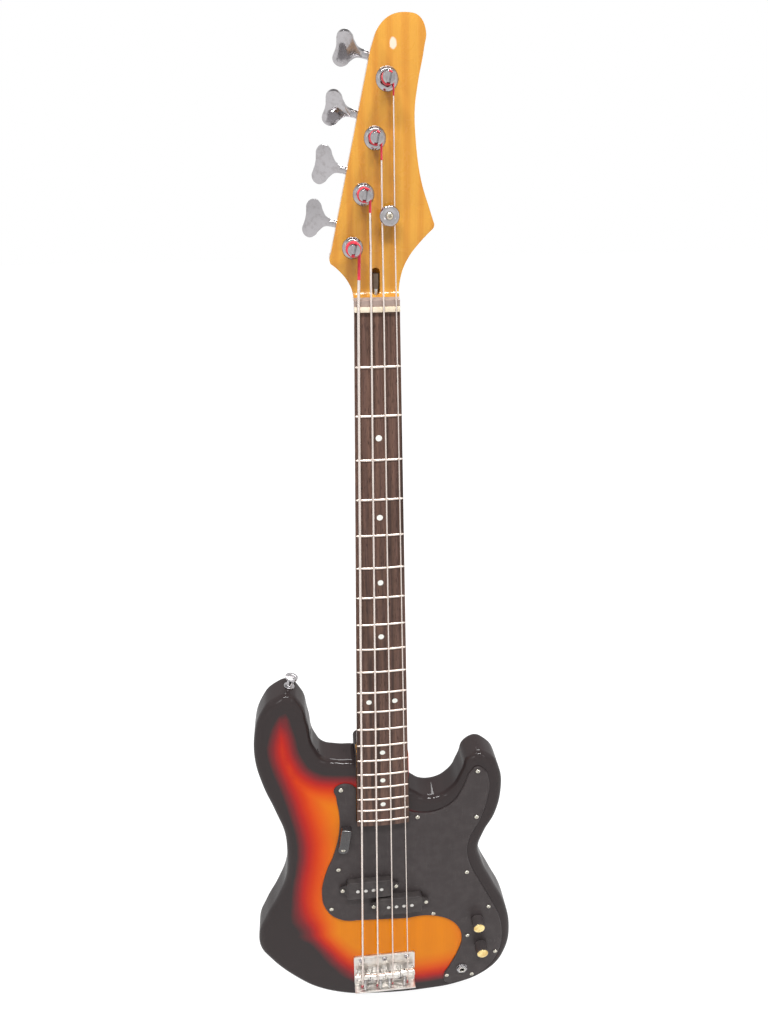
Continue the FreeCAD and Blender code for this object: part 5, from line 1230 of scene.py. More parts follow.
    def frets(self) -> bpy.types.NodeTree:
        """Fret wire on each point: a crown across the neck that follows the board's round face.

        Returns:
            The tree.
        """
        def recipe(graph: Graph, given: dict) -> Socket:
            """Straight wires scaled to their widths, bent over the board and given a section."""
            line = graph.node("GeometryNodeCurvePrimitiveLine",
                              {"Start": (-1, 0, 0), "End": (1, 0, 0)})
            fine = graph.node("GeometryNodeResampleCurve",
                              {"Curve": line.outputs[0], "Count": self.WIRE_SPANS})
            size = graph.node("ShaderNodeCombineXYZ",
                              {0: self._named(graph, "half_width", "FLOAT"), 1: 1.0, 2: 1.0})
            rows = self._rows(graph, given, fine.outputs[0], size.outputs[0])
            real = graph.node("GeometryNodeRealizeInstances", {0: rows})
            across = graph.parts(graph.node("GeometryNodeInputPosition").outputs[0])[0]
            drop = graph.maths("DIVIDE", graph.times(across, across),
                               graph.times(given["Board Radius"], 2.0))
            shift = graph.node("ShaderNodeCombineXYZ", {1: drop})
            bent = graph.node("GeometryNodeSetPosition",
                              {"Geometry": real.outputs[0], "Offset": shift.outputs[0]})
            upright = graph.node("GeometryNodeSetCurveNormal", {"Curve": bent.outputs[0]},
                                 mode="Z_UP")
            ends = graph.node("GeometryNodeSplineParameter").outputs["Factor"]
            middle = graph.maths("ABSOLUTE", graph.minus(ends, 0.5))
            taper = graph.node("ShaderNodeMapRange",
                               {"Value": middle, "From Min": 0.46, "From Max": 0.5,
                                "To Min": 1.0, "To Max": self.CROWN_END}).outputs[0]
            section = graph.node("ShaderNodeCombineXYZ",
                                 {0: given["Crown Height"],
                                  1: graph.maths("DIVIDE", given["Crown Width"], 2.0), 2: 1.0})
            shaped = graph.node("GeometryNodeTransform",
                                {"Geometry": self._circle(graph, self.CROWN_SIDES, 1.0),
                                 "Scale": section.outputs[0]})
            sized = graph.node("GeometryNodeSetCurveRadius",
                               {"Curve": upright.outputs[0], "Radius": taper})
            wire = self._swept(graph, sized.outputs[0], shaped.outputs[0])
            if "Scale" in wire.inputs:
                graph.feed(wire.inputs["Scale"], taper)
            return wire.outputs[0]
        return self._tree("fret wires", {"Crown Width": self.FLOAT, "Crown Height": self.FLOAT,
                                         "Board Radius": self.FLOAT}, recipe)

    def cord(self) -> bpy.types.NodeTree:
        """A round cord along a path, which keeps how far along and how far round each point is.

        Returns:
            The tree.
        """
        def recipe(graph: Graph, given: dict) -> Socket:
            """The path's length and the section's share are stored before the tube is made."""
            path = graph.node("GeometryNodeMeshToCurve", {0: given["Geometry"]}).outputs[0]
            spline = graph.node("GeometryNodeSplineParameter").outputs
            along = self._store(graph, path, "along", spline["Length"])
            ring = self._circle(graph, given["Sides"], given["Radius"])
            girth = self._store(graph, ring, "girth", spline["Factor"])
            return self._smooth(graph, self._swept(graph, along, girth))
        return self._tree("cord on a path", {"Radius": self.FLOAT, "Sides": self.WHOLE}, recipe)

    def springs(self) -> bpy.types.NodeTree:
        """A coil spring on each point, as long as the point says.

        Returns:
            The tree.
        """
        def recipe(graph: Graph, given: dict) -> Socket:
            """A spiral of unit height, stretched on its point and given round wire."""
            coil = graph.node("GeometryNodeCurveSpiral",
                              {"Resolution": self.COIL_STEPS, "Height": 1.0,
                               "Rotations": given["Turns"], "Start Radius": given["Coil Radius"],
                               "End Radius": given["Coil Radius"]})
            size = graph.node("ShaderNodeCombineXYZ",
                              {0: 1.0, 1: 1.0, 2: self._named(graph, "length", "FLOAT")})
            rows = self._rows(graph, given, coil.outputs[0], size.outputs[0])
            real = graph.node("GeometryNodeRealizeInstances", {0: rows})
            wire = self._circle(graph, self.COIL_SIDES, given["Wire Radius"])
            return self._smooth(graph, self._swept(graph, real.outputs[0], wire))
        return self._tree("coil springs", {"Turns": self.FLOAT, "Coil Radius": self.FLOAT,
                                           "Wire Radius": self.FLOAT}, recipe)

    @staticmethod
    def run(tree: bpy.types.NodeTree, name: str, points: Sequence[Vector],
            inputs: dict[str, object], attributes: Optional[dict[str, Sequence]] = None,
            edges: Sequence[tuple[int, int]] = ()) -> bpy.types.Object:
        """Runs a tree on points and keeps the result as a plain mesh.

        Args:
            tree: The tree.
            name: The piece's name.
            points: The points, in metres.
            inputs: Values of the tree's inputs by name.
            attributes: Values of each attribute of the points: numbers or rows of three.
            edges: Edges between them, for a path.

        Returns:
            The piece, with no modifier left.
        """
        mesh = bpy.data.meshes.new(name + "_points")
        mesh.from_pydata([tuple(point) for point in points], list(edges), [])
        for title, values in (attributes or {}).items():
            rows = np.array(values, dtype=np.float32)
            kind, part = ("FLOAT_VECTOR", "vector") if rows.ndim > 1 else ("FLOAT", "value")
            mesh.attributes.new(title, kind, "POINT").data.foreach_set(part, rows.ravel())
        host = placed(name, mesh)
        modifier = host.modifiers.new("build", "NODES")
        modifier.node_group = tree
        for item in tree.interface.items_tree:
            if item.item_type == "SOCKET" and item.in_out == "INPUT" and item.name in inputs:
                modifier[item.identifier] = inputs[item.name]
        Workbench.bake(host)
        return host


TREES = Trees()


@dataclass(frozen=True)
class Fastener:
    """One kind of screw: its head, drive and shank, and the finish that it has."""

    name: str
    head_mm: float
    rise_mm: float
    shank_mm: float
    length_mm: float
    form: HeadForm = HeadForm.PAN
    drive: Drive = Drive.CROSS
    finish: str = "nickel_screws"
    sides: int = 24
    fold: float = math.radians(40)

    def profile(self) -> list[tuple[float, float]]:
        """The turned outline of head and shank, with the head's seat at height 0.

        Returns:
            Radius and height pairs; heights above 0 stand over the seat.
        """
        radius, shank = self.head_mm / 2, self.shank_mm / 2
        rise, end = self.rise_mm, -self.length_mm
        tip = [(shank, end + shank * 2), (shank * 0.15, end), (0, end)]
        if self.form is HeadForm.PAN:
            dome = [(radius * math.sin(angle), rise * (0.28 + 0.72 * math.cos(angle)))
                    for angle in (0.35, 0.7, 1.0, 1.25, 1.45)]
            return [(0, rise), *dome, (radius, rise * 0.2), (radius, 0), (shank, 0), *tip]
        if self.form is HeadForm.FLAT:
            return [(0, 0), (radius * 0.5, 0), (radius * 0.94, 0), (radius, -rise * 0.08),
                    (shank, -rise), *tip]
        return [(0, 0), (shank * 0.85, 0), (shank, -shank * 0.15), (shank, end), (0, end)]

    def cutter(self) -> bmesh.types.BMesh:
        """The solid that the driver's recess leaves empty.

        Returns:
            The mesh of the recess.
        """
        built = bmesh.new()
        top = self.rise_mm if self.form is HeadForm.PAN else 0.0
        if self.drive is Drive.SOCKET:
            radius = self.shank_mm * 0.25 * MM
            bmesh.ops.create_cone(built, cap_ends=True, segments=6, radius1=radius, radius2=radius,
                                  depth=self.shank_mm * MM,
                                  matrix=Matrix.Translation((0, 0, top * MM)))
            return built
        reach, width = self.head_mm * 0.30, self.head_mm * 0.085
        depth, above = self.head_mm * 0.26, self.head_mm * 0.2
        for turn in (0, math.pi / 2):
            before = set(built.verts)
            bmesh.ops.create_cube(built, size=1.0)
            for vertex in [vertex for vertex in built.verts if vertex not in before]:
                low = vertex.co.z < 0
                side = vertex.co.x * 2 * reach * (0.35 if low else 1.0)
                thick = vertex.co.y * 2 * width * (0.6 if low else 1.0)
                level = top - depth if low else top + above
                vertex.co = Vector((side * math.cos(turn) - thick * math.sin(turn),
                                    side * math.sin(turn) + thick * math.cos(turn), level)) * MM
        bmesh.ops.recalc_face_normals(built, faces=built.faces)
        return built

    def template(self) -> bpy.types.Object:
        """One fastener at the origin, whose head faces +Z, with its recess cut.

        Returns:
            The template object, which is removed once the rows are made.
        """
        blank = Workbench.lathe(self.profile(), self.sides)
        host = placed(self.name + "_template", Workbench.mesh_of(blank, self.name + "_blank"))
        recess = Workbench.mesh_of(self.cutter(), self.name + "_recess")
        tool = placed(recess.name, recess)
        cut = host.modifiers.new("recess", "BOOLEAN")
        cut.object, cut.operation = tool, "DIFFERENCE"
        cut.solver, cut.use_self = "EXACT", True
        Workbench.bake(host)
        bpy.data.objects.remove(tool)
        bpy.data.meshes.remove(recess)
        Workbench.shade(host.data, self.fold)
        return host

    def row(self, node: str, seats: Sequence[Vector], ways: Sequence[Vector], seed: int,
            lengths: Optional[Sequence[float]] = None) -> bpy.types.Object:
        """Sets a fastener on each seat in place of a construction node.

        Args:
            node: The node that the row stands for.
            seats: Where each head sits, in metres.
            ways: The way that each head faces.
            seed: Seed of the recesses' turns.
            lengths: How much each is stretched along its own axis.

        Returns:
            The row as one piece.
        """
        template = self.template()
        sizes = [(1.0, 1.0, length) for length in lengths or [1.0] * len(seats)]
        made = TREES.run(TREES.fasteners(), node + "_look", seats,
                         {"Head": template, "Turn Seed": seed,
                          "Finish": FINISHES.material(self.finish)},
                         {"way": [tuple(way) for way in ways], "size": sizes})
        bpy.data.objects.remove(template)
        return Workbench.dress(made, self.finish, STATIC, node)

    def row_from_node(self, node: str, facing: Facing, seed: int) -> bpy.types.Object:
        """Sets the row where the construction node has its plain fasteners.

        Args:
            node: The node.
            facing: The way that the fasteners are driven.
            seed: Seed of the recesses' turns.

        Returns:
            The row as one piece.
        """
        into = Vector(facing.value)
        seats = []
        for points in Workbench.loose_parts(node):
            centre = Vector((points.min(0) + points.max(0)) / 2)
            depth = points @ np.array(into)
            level = depth.min() + (self.rise_mm * MM if self.form is HeadForm.PAN else 0)
            seats.append(centre - into * centre.dot(into) + into * level)
        return self.row(node, seats, [-into] * len(seats), seed)


@dataclass
class StringSet:
    """The four strings: their paths from the bridge to the posts, their winding and silk."""

    scale_length: float = 863.6
    nut_pitch: float = 11.0
    bridge_pitch: float = 20.0
    fret_top: float = -7.2
    rise_at_nut: float = 1.1
    rise_at_saddle: float = 5.1
    board_radius: float = 254.0
    nut_break: float = 2.0
    nut_bend: float = 12.0
    tree_bend: float = 40.0
    bend_steps: int = 12
    head_face: float = 4.9
    body_face: float = 4.3
    wall_place: float = 893.0
    anchor_height: float = 5.8
    head_width: float = 90.0
    head_length: float = 224.0
    edge_low: tuple = (-0.424 * head_width, 0.217 * head_length)
    edge_high: tuple = (-0.036 * head_width, 0.866 * head_length)
    post_inset: float = 17.2
    first_post: float = 0.053
    post_step: float = 0.291
    waist_radius: float = 3.6
    flange_thickness: float = 2.2
    foot_height: float = 1.0
    saddle_radius: float = 4.5
    saddle_groove: float = 0.9
    clearance: float = 0.05
    free_gap: float = 0.35
    winding_gap: float = 0.45
    tree_place: tuple = (11.5, 78.0)
    tree_height: float = 6.8
    tree_diameter: float = 17.4
    diameters: tuple = (2.6, 2.1, 1.6, 1.2)
    setbacks: tuple = (3.0, 2.3, 1.6, 1.0)
    turns: tuple = (2.25, 2.75, 3.25, 4.25)
    turn_steps: int = 40
    lifts: tuple = (2.2, 0.0, 0.0, 0.0)
    silk_from: tuple = (27.0, 80.5, 120.5, 167.0)
    silk_at_bridge: float = 11.0
    silk_thickness: float = 0.09
    cord_sides: int = 18
    ferrule_sides: int = 28
    ferrule_bore: float = 0.8
    ferrule_fold: float = math.radians(40)

    def across(self, index: int, below: float) -> float:
        """A string's distance from the centreline at a distance below the nut."""
        pitch = self.nut_pitch + (self.bridge_pitch - self.nut_pitch) * below / self.scale_length
        return (index - 1.5) * pitch

    def level(self, index: int, below: float) -> float:
        """A string's level at a distance below the nut."""
        at_nut, at_saddle = self.across(index, 0), self.across(index, self.scale_length)
        low = self.fret_top - self.rise_at_nut + at_nut ** 2 / (2 * self.board_radius)
        high = self.fret_top - self.rise_at_saddle + at_saddle ** 2 / (2 * self.board_radius)
        return low + (high - low) * below / self.scale_length

    def post(self, index: int) -> tuple[float, float]:
        """The middle of a string's post on the head.

        Args:
            index: The string, from the thickest.

        Returns:
            Its X and Z in millimetres.
        """
        dx, dz = self.edge_high[0] - self.edge_low[0], self.edge_high[1] - self.edge_low[1]
        length = math.hypot(dx, dz)
        reach = length * (self.first_post + self.post_step * index)
        return (self.edge_low[0] + dx / length * reach + dz / length * self.post_inset,
                self.edge_low[1] + dz / length * reach - dx / length * self.post_inset)

    def corners(self, index: int) -> list[Vector]:
        """The corners of a string's straight runs, from the bridge's rear wall to its post.

        Args:
            index: The string, from the thickest.

        Returns:
            The corners in millimetres.
        """
        below = self.scale_length + self.setbacks[index]
        gauge = self.diameters[index]
        anchor = Vector((self.across(index, self.wall_place), self.body_face - self.anchor_height,
                         -self.wall_place))
        saddle = Vector((self.across(index, below), self.level(index, below), -below))
        nut = Vector((self.across(index, 0), self.level(index, 0), self.nut_break))
        px, pz = self.post(index)
        radius = self.waist_radius + self.free_gap + gauge / 2
        flange = self.head_face - self.flange_thickness
        start = flange - self.free_gap - self.foot_height - self.lifts[index] - gauge / 2
        end = Vector((px + radius, start, pz))
        points = [anchor, saddle, nut]
        if index > 1:
            under = self.head_face - self.tree_height + gauge / 2 + self.clearance
            slope = (under - nut.y) / (self.tree_place[1] - nut.z)
            share = (self.tree_place[1] - nut.z) / (end.z - nut.z)
            points.append(Vector((nut.x + (end.x - nut.x) * share,
                                  under + slope * self.tree_diameter / 2, self.tree_place[1])))
        return points + [end]

    def path(self, index: int) -> list[Vector]:
        """A string's centre line, close enough in its bends and turns to look round.

        Args:
            index: The string, from the thickest.

        Returns:
            The points in millimetres.
        """
        points = self.corners(index)
        gauge = self.diameters[index]
        at_saddle = self.saddle_radius - self.saddle_groove + gauge / 2 + self.clearance
        radii = [at_saddle, self.nut_bend, self.tree_bend]
        path = [points[0]]
        for place in range(1, len(points) - 1):
            here = points[place]
            back = (points[place - 1] - here).normalized()
            on = (points[place + 1] - here).normalized()
            half = back.angle(on) / 2
            inside = (back + on).normalized()
            radius = radii[place - 1]
            centre = here + inside * (radius / math.sin(half))
            first = here + back * (radius / math.tan(half)) - centre
            last = here + on * (radius / math.tan(half)) - centre
            path += [centre + first.slerp(last, step / self.bend_steps).normalized() * radius
                     for step in range(self.bend_steps + 1)]
        px, pz = self.post(index)
        radius = self.waist_radius + self.free_gap + gauge / 2
        pitch = gauge + self.winding_gap
        for step in range(int(self.turns[index] * self.turn_steps) + 1):
            turn = step / self.turn_steps
            path.append(Vector((px + radius * math.cos(2 * math.pi * turn),
                                points[-1].y - pitch * turn,
                                pz + radius * math.sin(2 * math.pi * turn))))
        tail = (path[-1] - path[-2]).normalized()
        path.append(path[-1] + tail * gauge)
        return path

    @staticmethod
    def cut_path(path: Sequence[Vector], start: float, end: float) -> list[Vector]:
        """The stretch of a path between two distances along it.

        Args:
            path: The whole path.
            start: Where the stretch starts.
            end: Where it ends.

        Returns:
            The stretch's points.
        """
        kept, walked = [], 0.0
        for here, there in zip(path, path[1:]):
            length = (there - here).length
            low, high = max(start, walked), min(end, walked + length)
            if high > low:
                if not kept:
                    kept.append(here.lerp(there, (low - walked) / length))
                kept.append(here.lerp(there, (high - walked) / length))
            walked += length
        return kept

    def silk_start(self, index: int, path: Sequence[Vector], lengths: np.ndarray) -> float:
        """How far along a string the silk of its post's end starts.

        Args:
            index: The string, from the thickest.
            path: Its centre line.
            lengths: How far along each point is.

        Returns:
            The distance along it.
        """
        height = self.silk_from[index]
        for here, there, length in zip(path, path[1:], lengths):
            if here.z <= height < there.z:
                steepness = (there.z - here.z) / (there - here).length
                return float(length) + (height - here.z) / steepness
        raise ValueError("the string never reaches its silk's place")

    def tube(self, name: str, path: Sequence[Vector], radius: float, finish: str,
             *nodes: str) -> None:
        """Makes a round cord on a path, dressed in a finish, which may stand for nodes."""
        edges = [(number, number + 1) for number in range(len(path) - 1)]
        made = TREES.run(TREES.cord(), name, [point * MM for point in path],
                         {"Radius": radius * MM, "Sides": self.cord_sides,
                          "Finish": FINISHES.material(finish)}, edges=edges)
        Workbench.dress(made, finish, STATIC, *nodes)

    def build(self) -> None:
        """Makes each string, the silk at its two ends and its ball end."""
        for index, name in enumerate(STRINGS):
            path = self.path(index)
            radius = self.diameters[index] / 2
            self.tube(f"string_{name}_wound", path, radius, "string_steel", "string_" + name)
            lengths = np.cumsum([0.0] + [(b - a).length for a, b in zip(path, path[1:])])
            start = self.silk_start(index, path, lengths)
            for place, low, high in (("head", start, float(lengths[-1])),
                                     ("bridge", 0.0, self.silk_at_bridge)):
                self.tube(f"silk_{name}_{place}", self.cut_path(path, low, high),
                          radius + self.silk_thickness, "red_silk")
        self.build_ball_ends()
        log.info("strings: 4 wound strings with silk at both ends")

    def build_ball_ends(self) -> None:
        """Turned ferrules that hold the strings behind the bridge's rear wall."""
        built = bmesh.new()
        for low, middle, high in Workbench.part_boxes("string_ball_ends"):
            half, _, radius = (high - low) / 2 / MM
            bore = self.ferrule_bore
            ring = Workbench.lathe(
                [(bore, -half), (radius * 0.86, -half), (radius, -half * 0.7),
                 (radius * 0.8, -half * 0.3), (radius * 0.8, half * 0.3), (radius, half * 0.7),
                 (radius * 0.86, half), (bore, half), (bore, -half)], self.ferrule_sides)
            turn = Matrix.Translation(Vector(middle)) @ Matrix.Rotation(math.pi / 2, 4, "Y")
            bmesh.ops.transform(ring, matrix=turn, verts=ring.verts)
            mesh = Workbench.mesh_of(ring, "ferrule")
            built.from_mesh(mesh)
            bpy.data.meshes.remove(mesh)
        made = Workbench.finish_mesh(built, "string_ball_ends_look", self.ferrule_fold)
        Workbench.dress(made, "ball_brass", STATIC, "string_ball_ends")


@dataclass
class SunburstBody:
    """The wooden body, the neck plate on its back and the strap buttons on its rim."""

    edge_radius: float = 9.0
    full_depth: float = 100.0
    spray_reach: float = 42.0
    wider_spray: tuple = ((-123.0, -480.0, -4.0), (-101.0, -606.0, -7.0), (-99.0, -639.0, -7.0),
                          (-102.0, -672.0, -9.0), (-108.0, -706.0, -8.0), (-111.0, -732.0, -0.5),
                          (-108.0, -760.0, 14.0), (-96.0, -789.0, 36.0), (-82.0, -820.0, 38.0),
                          (-60.0, -852.0, 28.0), (-45.0, -500.0, -4.0))
    heel_end: float = -604.0
    heel_fade: float = 26.0
    heel_half: float = 52.0
    cell: float = 7.0
    rim_tolerance: float = 0.04
    far: float = 9000.0
    buttons: Fastener = Fastener("strap_screw", 7.9, 2.0, 4.0, 32.0, HeadForm.FLAT,
                                 finish="chrome_screws")
    plate_screw: Fastener = Fastener("neck_screw", 8.6, 1.9, 4.4, 44.0, HeadForm.FLAT,
                                     finish="chrome_screws")

    def outline(self, places: np.ndarray, pairs: np.ndarray) -> np.ndarray:
        """The stretches of the body's outline, found where its rim starts to round over.

        Args:
            places: The corners of the mesh.
            pairs: The ends of its edges.

        Returns:
            Start and end of each stretch, seen from the front.
        """
        level = places[:, 1].min() + self.edge_radius * MM
        on_rim = np.abs(places[:, 1] - level) < self.rim_tolerance * MM
        both = on_rim[pairs[:, 0]] & on_rim[pairs[:, 1]]
        return places[pairs[both]][:, :, [0, 2]]

    def distance(self, points: np.ndarray, stretches: np.ndarray) -> np.ndarray:
        """The distance from each point to the nearest stretch of the outline.

        Args:
            points: X and Z of each point.
            stretches: Start and end of each stretch.

        Returns:
            The distances in metres.
        """
        best = np.full(len(points), self.far * MM)
        for start, end in stretches:
            way = end - start
            share = np.clip(((points - start) @ way) / max(way @ way, 1e-12), 0, 1)
            gap = np.linalg.norm(points - (start + share[:, None] * way), axis=1)
            best = np.minimum(best, gap)
        return best

    def extra(self, points: np.ndarray) -> np.ndarray:
        """How much wider than elsewhere the dark rim was sprayed near each point.

        Args:
            points: X and Z of each point, in metres.

        Returns:
            The extra widths in metres, which are the stated ones at the stated places.
        """
        stated = np.array(self.wider_spray) * MM
        places, widths = stated[:, :2], stated[:, 2]
        reach = self.spray_reach * MM
        own = np.exp(-(np.linalg.norm(places[:, None] - places, axis=2) / reach) ** 2)
        near = np.exp(-(np.linalg.norm(points[:, None] - places, axis=2) / reach) ** 2)
        return near @ np.linalg.solve(own, widths)

    def heel(self, points: np.ndarray) -> np.ndarray:
        """The share of black round the heel, whose walls and end are sprayed like the rim.

        Args:
            points: The places, with Y from the body's face.

        Returns:
            A share from 0 to 1 for each point, which is 0 on the face.
        """
        across, along = np.abs(points[:, 0]) / MM, points[:, 2] / MM
        beside = np.clip((self.heel_half - across) / (self.heel_fade / 2), 0, 1)
        above = np.clip((along - (self.heel_end - self.heel_fade)) / self.heel_fade, 0, 1)
        return beside * above * (points[:, 1] > self.edge_radius / 2 * MM)

    def build_body(self) -> None:
        """The body's own shape, cut in a fine grid that carries the spray."""
        built = Workbench.welded("body")
        places = np.array([vertex.co[:] for vertex in built.verts])
        built.verts.index_update()
        pairs = np.array([[vertex.index for vertex in edge.verts] for edge in built.edges])
        stretches = self.outline(places, pairs)
        Workbench.flattened(built)
        low, high = places.min(0), places.max(0)
        for axis, normal in ((0, (1, 0, 0)), (2, (0, 0, 1))):
            for cut in np.arange(low[axis] + self.cell * MM, high[axis], self.cell * MM):
                point = [0.0, 0.0, 0.0]
                point[axis] = float(cut)
                bmesh.ops.bisect_plane(built, geom=built.verts[:] + built.edges[:] + built.faces[:],
                                       plane_co=point, plane_no=normal, dist=Workbench.NO_LENGTH)
        made = Workbench.finish_mesh(built, "body_look", Workbench.SMOOTH_ANGLE)
        made.modifiers.new("even_shading", "WEIGHTED_NORMAL").keep_sharp = True
        Workbench.bake(made)
        points = np.array([vertex.co[:] for vertex in made.data.vertices])
        seen = points[:, [0, 2]]
        depth = self.distance(seen, stretches) - self.extra(seen)
        spray = np.clip(depth / (self.full_depth * MM), 0, 1)
        spray *= 1 - self.heel(points - (0, low[1], 0))
        Workbench.write(made.data, "spray", spray)
        Workbench.dress(made, "sunburst_lacquer", STATIC, "body")

    def build(self) -> None:
        """Makes the body and the metal that is fixed to it."""
        self.build_body()
        Workbench.reskin("neck_plate", "chrome_plate", 0.35)
        self.plate_screw.row_from_node("neck_screws", Facing.FROM_BACK, seed=5)
        Workbench.reskin("strap_buttons", "chrome_plate", 0.3)
        seats, ways = [], []
        for points in Workbench.loose_parts("strap_button_screws"):
            centre = points.mean(0)
            direction = np.linalg.svd(points - centre)[2][0]
            reach = (points - centre) @ direction
            wide = np.linalg.norm((points - centre) - reach[:, None] * direction, axis=1)
            if reach[np.argmax(wide)] < 0:
                direction, reach = -direction, -reach
            seats.append(Vector(centre + direction * reach.max()))
            ways.append(Vector(direction))
        self.buttons.row("strap_button_screws", seats, ways, seed=2)
        log.info("body: sunburst, neck plate, strap buttons")


@dataclass
class NeckLook:
    """The neck with its board, frets, nut and marks."""

    scale_length: float = 863.6
    fret_count: int = 20
    half_nut: float = 20.0
    last_half: float = 30.75
    board_face: float = -6.0
    crown_width: float = 2.4
    crown_height: float = 1.2
    end_inset: float = 0.25
    board_radius: float = 254.0
    fret_fold: float = math.radians(50)

    def fret_place(self, number: int) -> float:
        """A fret's distance below the nut."""
        return self.scale_length * (1 - 2 ** (-number / 12))

    def build(self) -> None:
        """Dresses the neck and makes its fret wires."""
        Workbench.reskin("neck", "maple_lacquer", 0.8, segments=3)
        Workbench.dress_rows({"fingerboard": ("rosewood", 0.0), "nut": ("bone", 0.15)},
                             {"position_dots": "pearl", "truss_rod": "plain_steel",
                              "truss_rod_nut": "dark_steel"})
        last = self.fret_place(self.fret_count)
        points, widths = [], []
        for number in range(1, self.fret_count + 1):
            below = self.fret_place(number)
            points.append(Vector((0, self.board_face * MM, -below * MM)))
            half = self.half_nut + (self.last_half - self.half_nut) * below / last - self.end_inset
            widths.append(half * MM)
        wires = TREES.run(TREES.frets(), "frets_look", points,
                          {"Crown Width": self.crown_width * MM,
                           "Crown Height": self.crown_height * MM,
                           "Board Radius": self.board_radius * MM,
                           "Finish": FINISHES.material("nickel_silver")}, {"half_width": widths})
        Workbench.shade(wires.data, self.fret_fold)
        Workbench.dress(wires, "nickel_silver", STATIC, "frets")
        log.info("neck: maple neck, rosewood board, %d frets", self.fret_count)


@dataclass
class TuningMachines:
    """Plates, bushings, posts, worm wheels and keys, and the string tree."""

    plate_screw: Fastener = Fastener("machine_screw", 4.6, 1.5, 2.2, 11.0, finish="chrome_screws")
    tree_screw: Fastener = Fastener("tree_screw", 6.2, 2.0, 2.8, 18.4, finish="cream_screw")

    def build(self) -> None:
        """Dresses every piece of the four machines."""
        Workbench.dress_rows({"tuner_plates": ("chrome_plate", 0.25),
                              "tuner_bushings": ("chrome_plate", 0.25),
                              "string_tree": ("chrome_plate", 0.35)}, {})
        self.plate_screw.row_from_node("tuner_screws", Facing.FROM_BACK, seed=9)
        for name in STRINGS:
            post, key = "tuner_post_" + name, "tuner_key_" + name
            Workbench.reskin(post, "chrome_plate", 0.25, post)
            Workbench.reskin("tuner_gear_" + name, "gear_brass", 0.12, post, segments=1)
            Workbench.reskin(key, "chrome_plate", 0.5, key, segments=3)
        self.tree_screw.row_from_node("string_tree_screw", Facing.FROM_FRONT, seed=4)
        log.info("head: 4 tuning machines and the string tree")


@dataclass
class Electrics:
    """The pickguard and all that it carries: pickups, knobs, jack and thumb rest."""

    guard_screw: Fastener = Fastener("guard_screw", 5.6, 1.7, 2.8, 13.0)
    pickup_screw: Fastener = Fastener("pickup_screw", 5.4, 1.8, 2.6, 28.0)
    knob_radius: float = 8.3
    cap_share: float = 0.86
    flutes: int = 40
    steps_per_flute: int = 4
    flute_depth: float = 0.28
    dome: float = 0.92
    fold: float = math.radians(45)
    skins: dict = field(default_factory=lambda: {
        "pickguard": ("black_guard", 0.0), "thumb_rest": ("black_plastic", 0.4),
        "pickup_cover_bass": ("pickup_plastic", 0.4),
        "pickup_cover_treble": ("pickup_plastic", 0.4),
        "pickup_pole_pieces": ("magnet_steel", 0.3), "pot_nuts": ("plain_steel", 0.2),
        "output_jack": ("jack_metal", 0.25), "output_jack_nut": ("chrome_plate", 0.25)})
    painted: dict = field(default_factory=lambda: {
        "pickup_bobbins": "black_fibre", "pickup_coils": "copper_wire",
        "pickup_foam": "foam_rubber", "pot_housings": "plain_steel",
        "tone_capacitor": "capacitor_shell", "volume_shaft": "plain_steel",
        "tone_shaft": "plain_steel"})

    def knob_mesh(self, node: str) -> bpy.types.Object:
        """A knob with a fluted skirt and a low domed cap set in its face.

        Args:
            node: The knob's construction node.

        Returns:
            The knob, with its two finishes.
        """
        low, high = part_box(node)
        centre = (low + high) / 2
        radius, height = self.knob_radius, high.y / MM - low.y / MM
        cap = radius * self.cap_share
        profile = [(7.0, 5.4), (7.0, 0.0), (radius - 0.5, 0.0), (radius, 0.5),
                   (radius, height * 0.30), (radius, height * 0.62), (radius, height - 1.9),
                   (radius - 0.18, height - 1.5), (radius - 0.55, height - 1.2),
                   (cap + 0.12, height - 1.12), (cap, height - 1.3), (cap, height - 1.05),
                   (cap - 0.1, height - self.dome)]
        profile += [(cap * math.cos(angle), height - self.dome + self.dome * math.sin(angle))
                    for angle in (0.3, 0.6, 0.9, 1.2, 1.4)] + [(0, height)]
        built = Workbench.lathe(profile, self.flutes * self.steps_per_flute)
        for vertex in built.verts:
            reach = math.hypot(vertex.co.x, vertex.co.y)
            if reach > (radius - 0.1) * MM and 1.0 * MM < vertex.co.z < (height - 1.6) * MM:
                angle = math.atan2(vertex.co.y, vertex.co.x)
                groove = 0.5 - 0.5 * math.cos(angle * self.flutes)
                shrink = 1 - self.flute_depth * groove ** 2 / radius
                vertex.co.x *= shrink
                vertex.co.y *= shrink
        for face in built.faces:
            middle = face.calc_center_median()
            inside = math.hypot(middle.x, middle.y) < (cap + 0.02) * MM
            face.material_index = int(inside and middle.z > (height - 1.4) * MM)
        turned = Matrix.Rotation(math.pi / 2, 4, "X")
        facing = Matrix.Translation((centre.x, high.y, centre.z)) @ turned
        bmesh.ops.transform(built, matrix=facing, verts=built.verts)
        made = Workbench.finish_mesh(built, node + "_look", self.fold)
        cap_finish = TurnedCap("knob_cap_" + node.split("_")[0], (centre.x / MM, centre.z / MM))
        FINISHES.add(cap_finish)
        made.data.materials.append(FINISHES.material("knob_skirt"))
        made.data.materials.append(FINISHES.material(cap_finish.name))
        return made

    def build(self) -> None:
        """Dresses the pickguard's pieces."""
        Workbench.dress_rows(self.skins, self.painted)
        self.guard_screw.row_from_node("pickguard_screws", Facing.FROM_FRONT, seed=7)
        self.guard_screw.row_from_node("thumb_rest_screw", Facing.FROM_FRONT, seed=8)
        self.pickup_screw.row_from_node("pickup_screws", Facing.FROM_FRONT, seed=6)
        for control in ("volume", "tone"):
            knob = self.knob_mesh(control + "_knob")
            Workbench.dress(knob, "cream_gold_knob", control + "_control", control + "_knob")
        log.info("electrics: pickguard, two pickup halves, two knobs, jack")


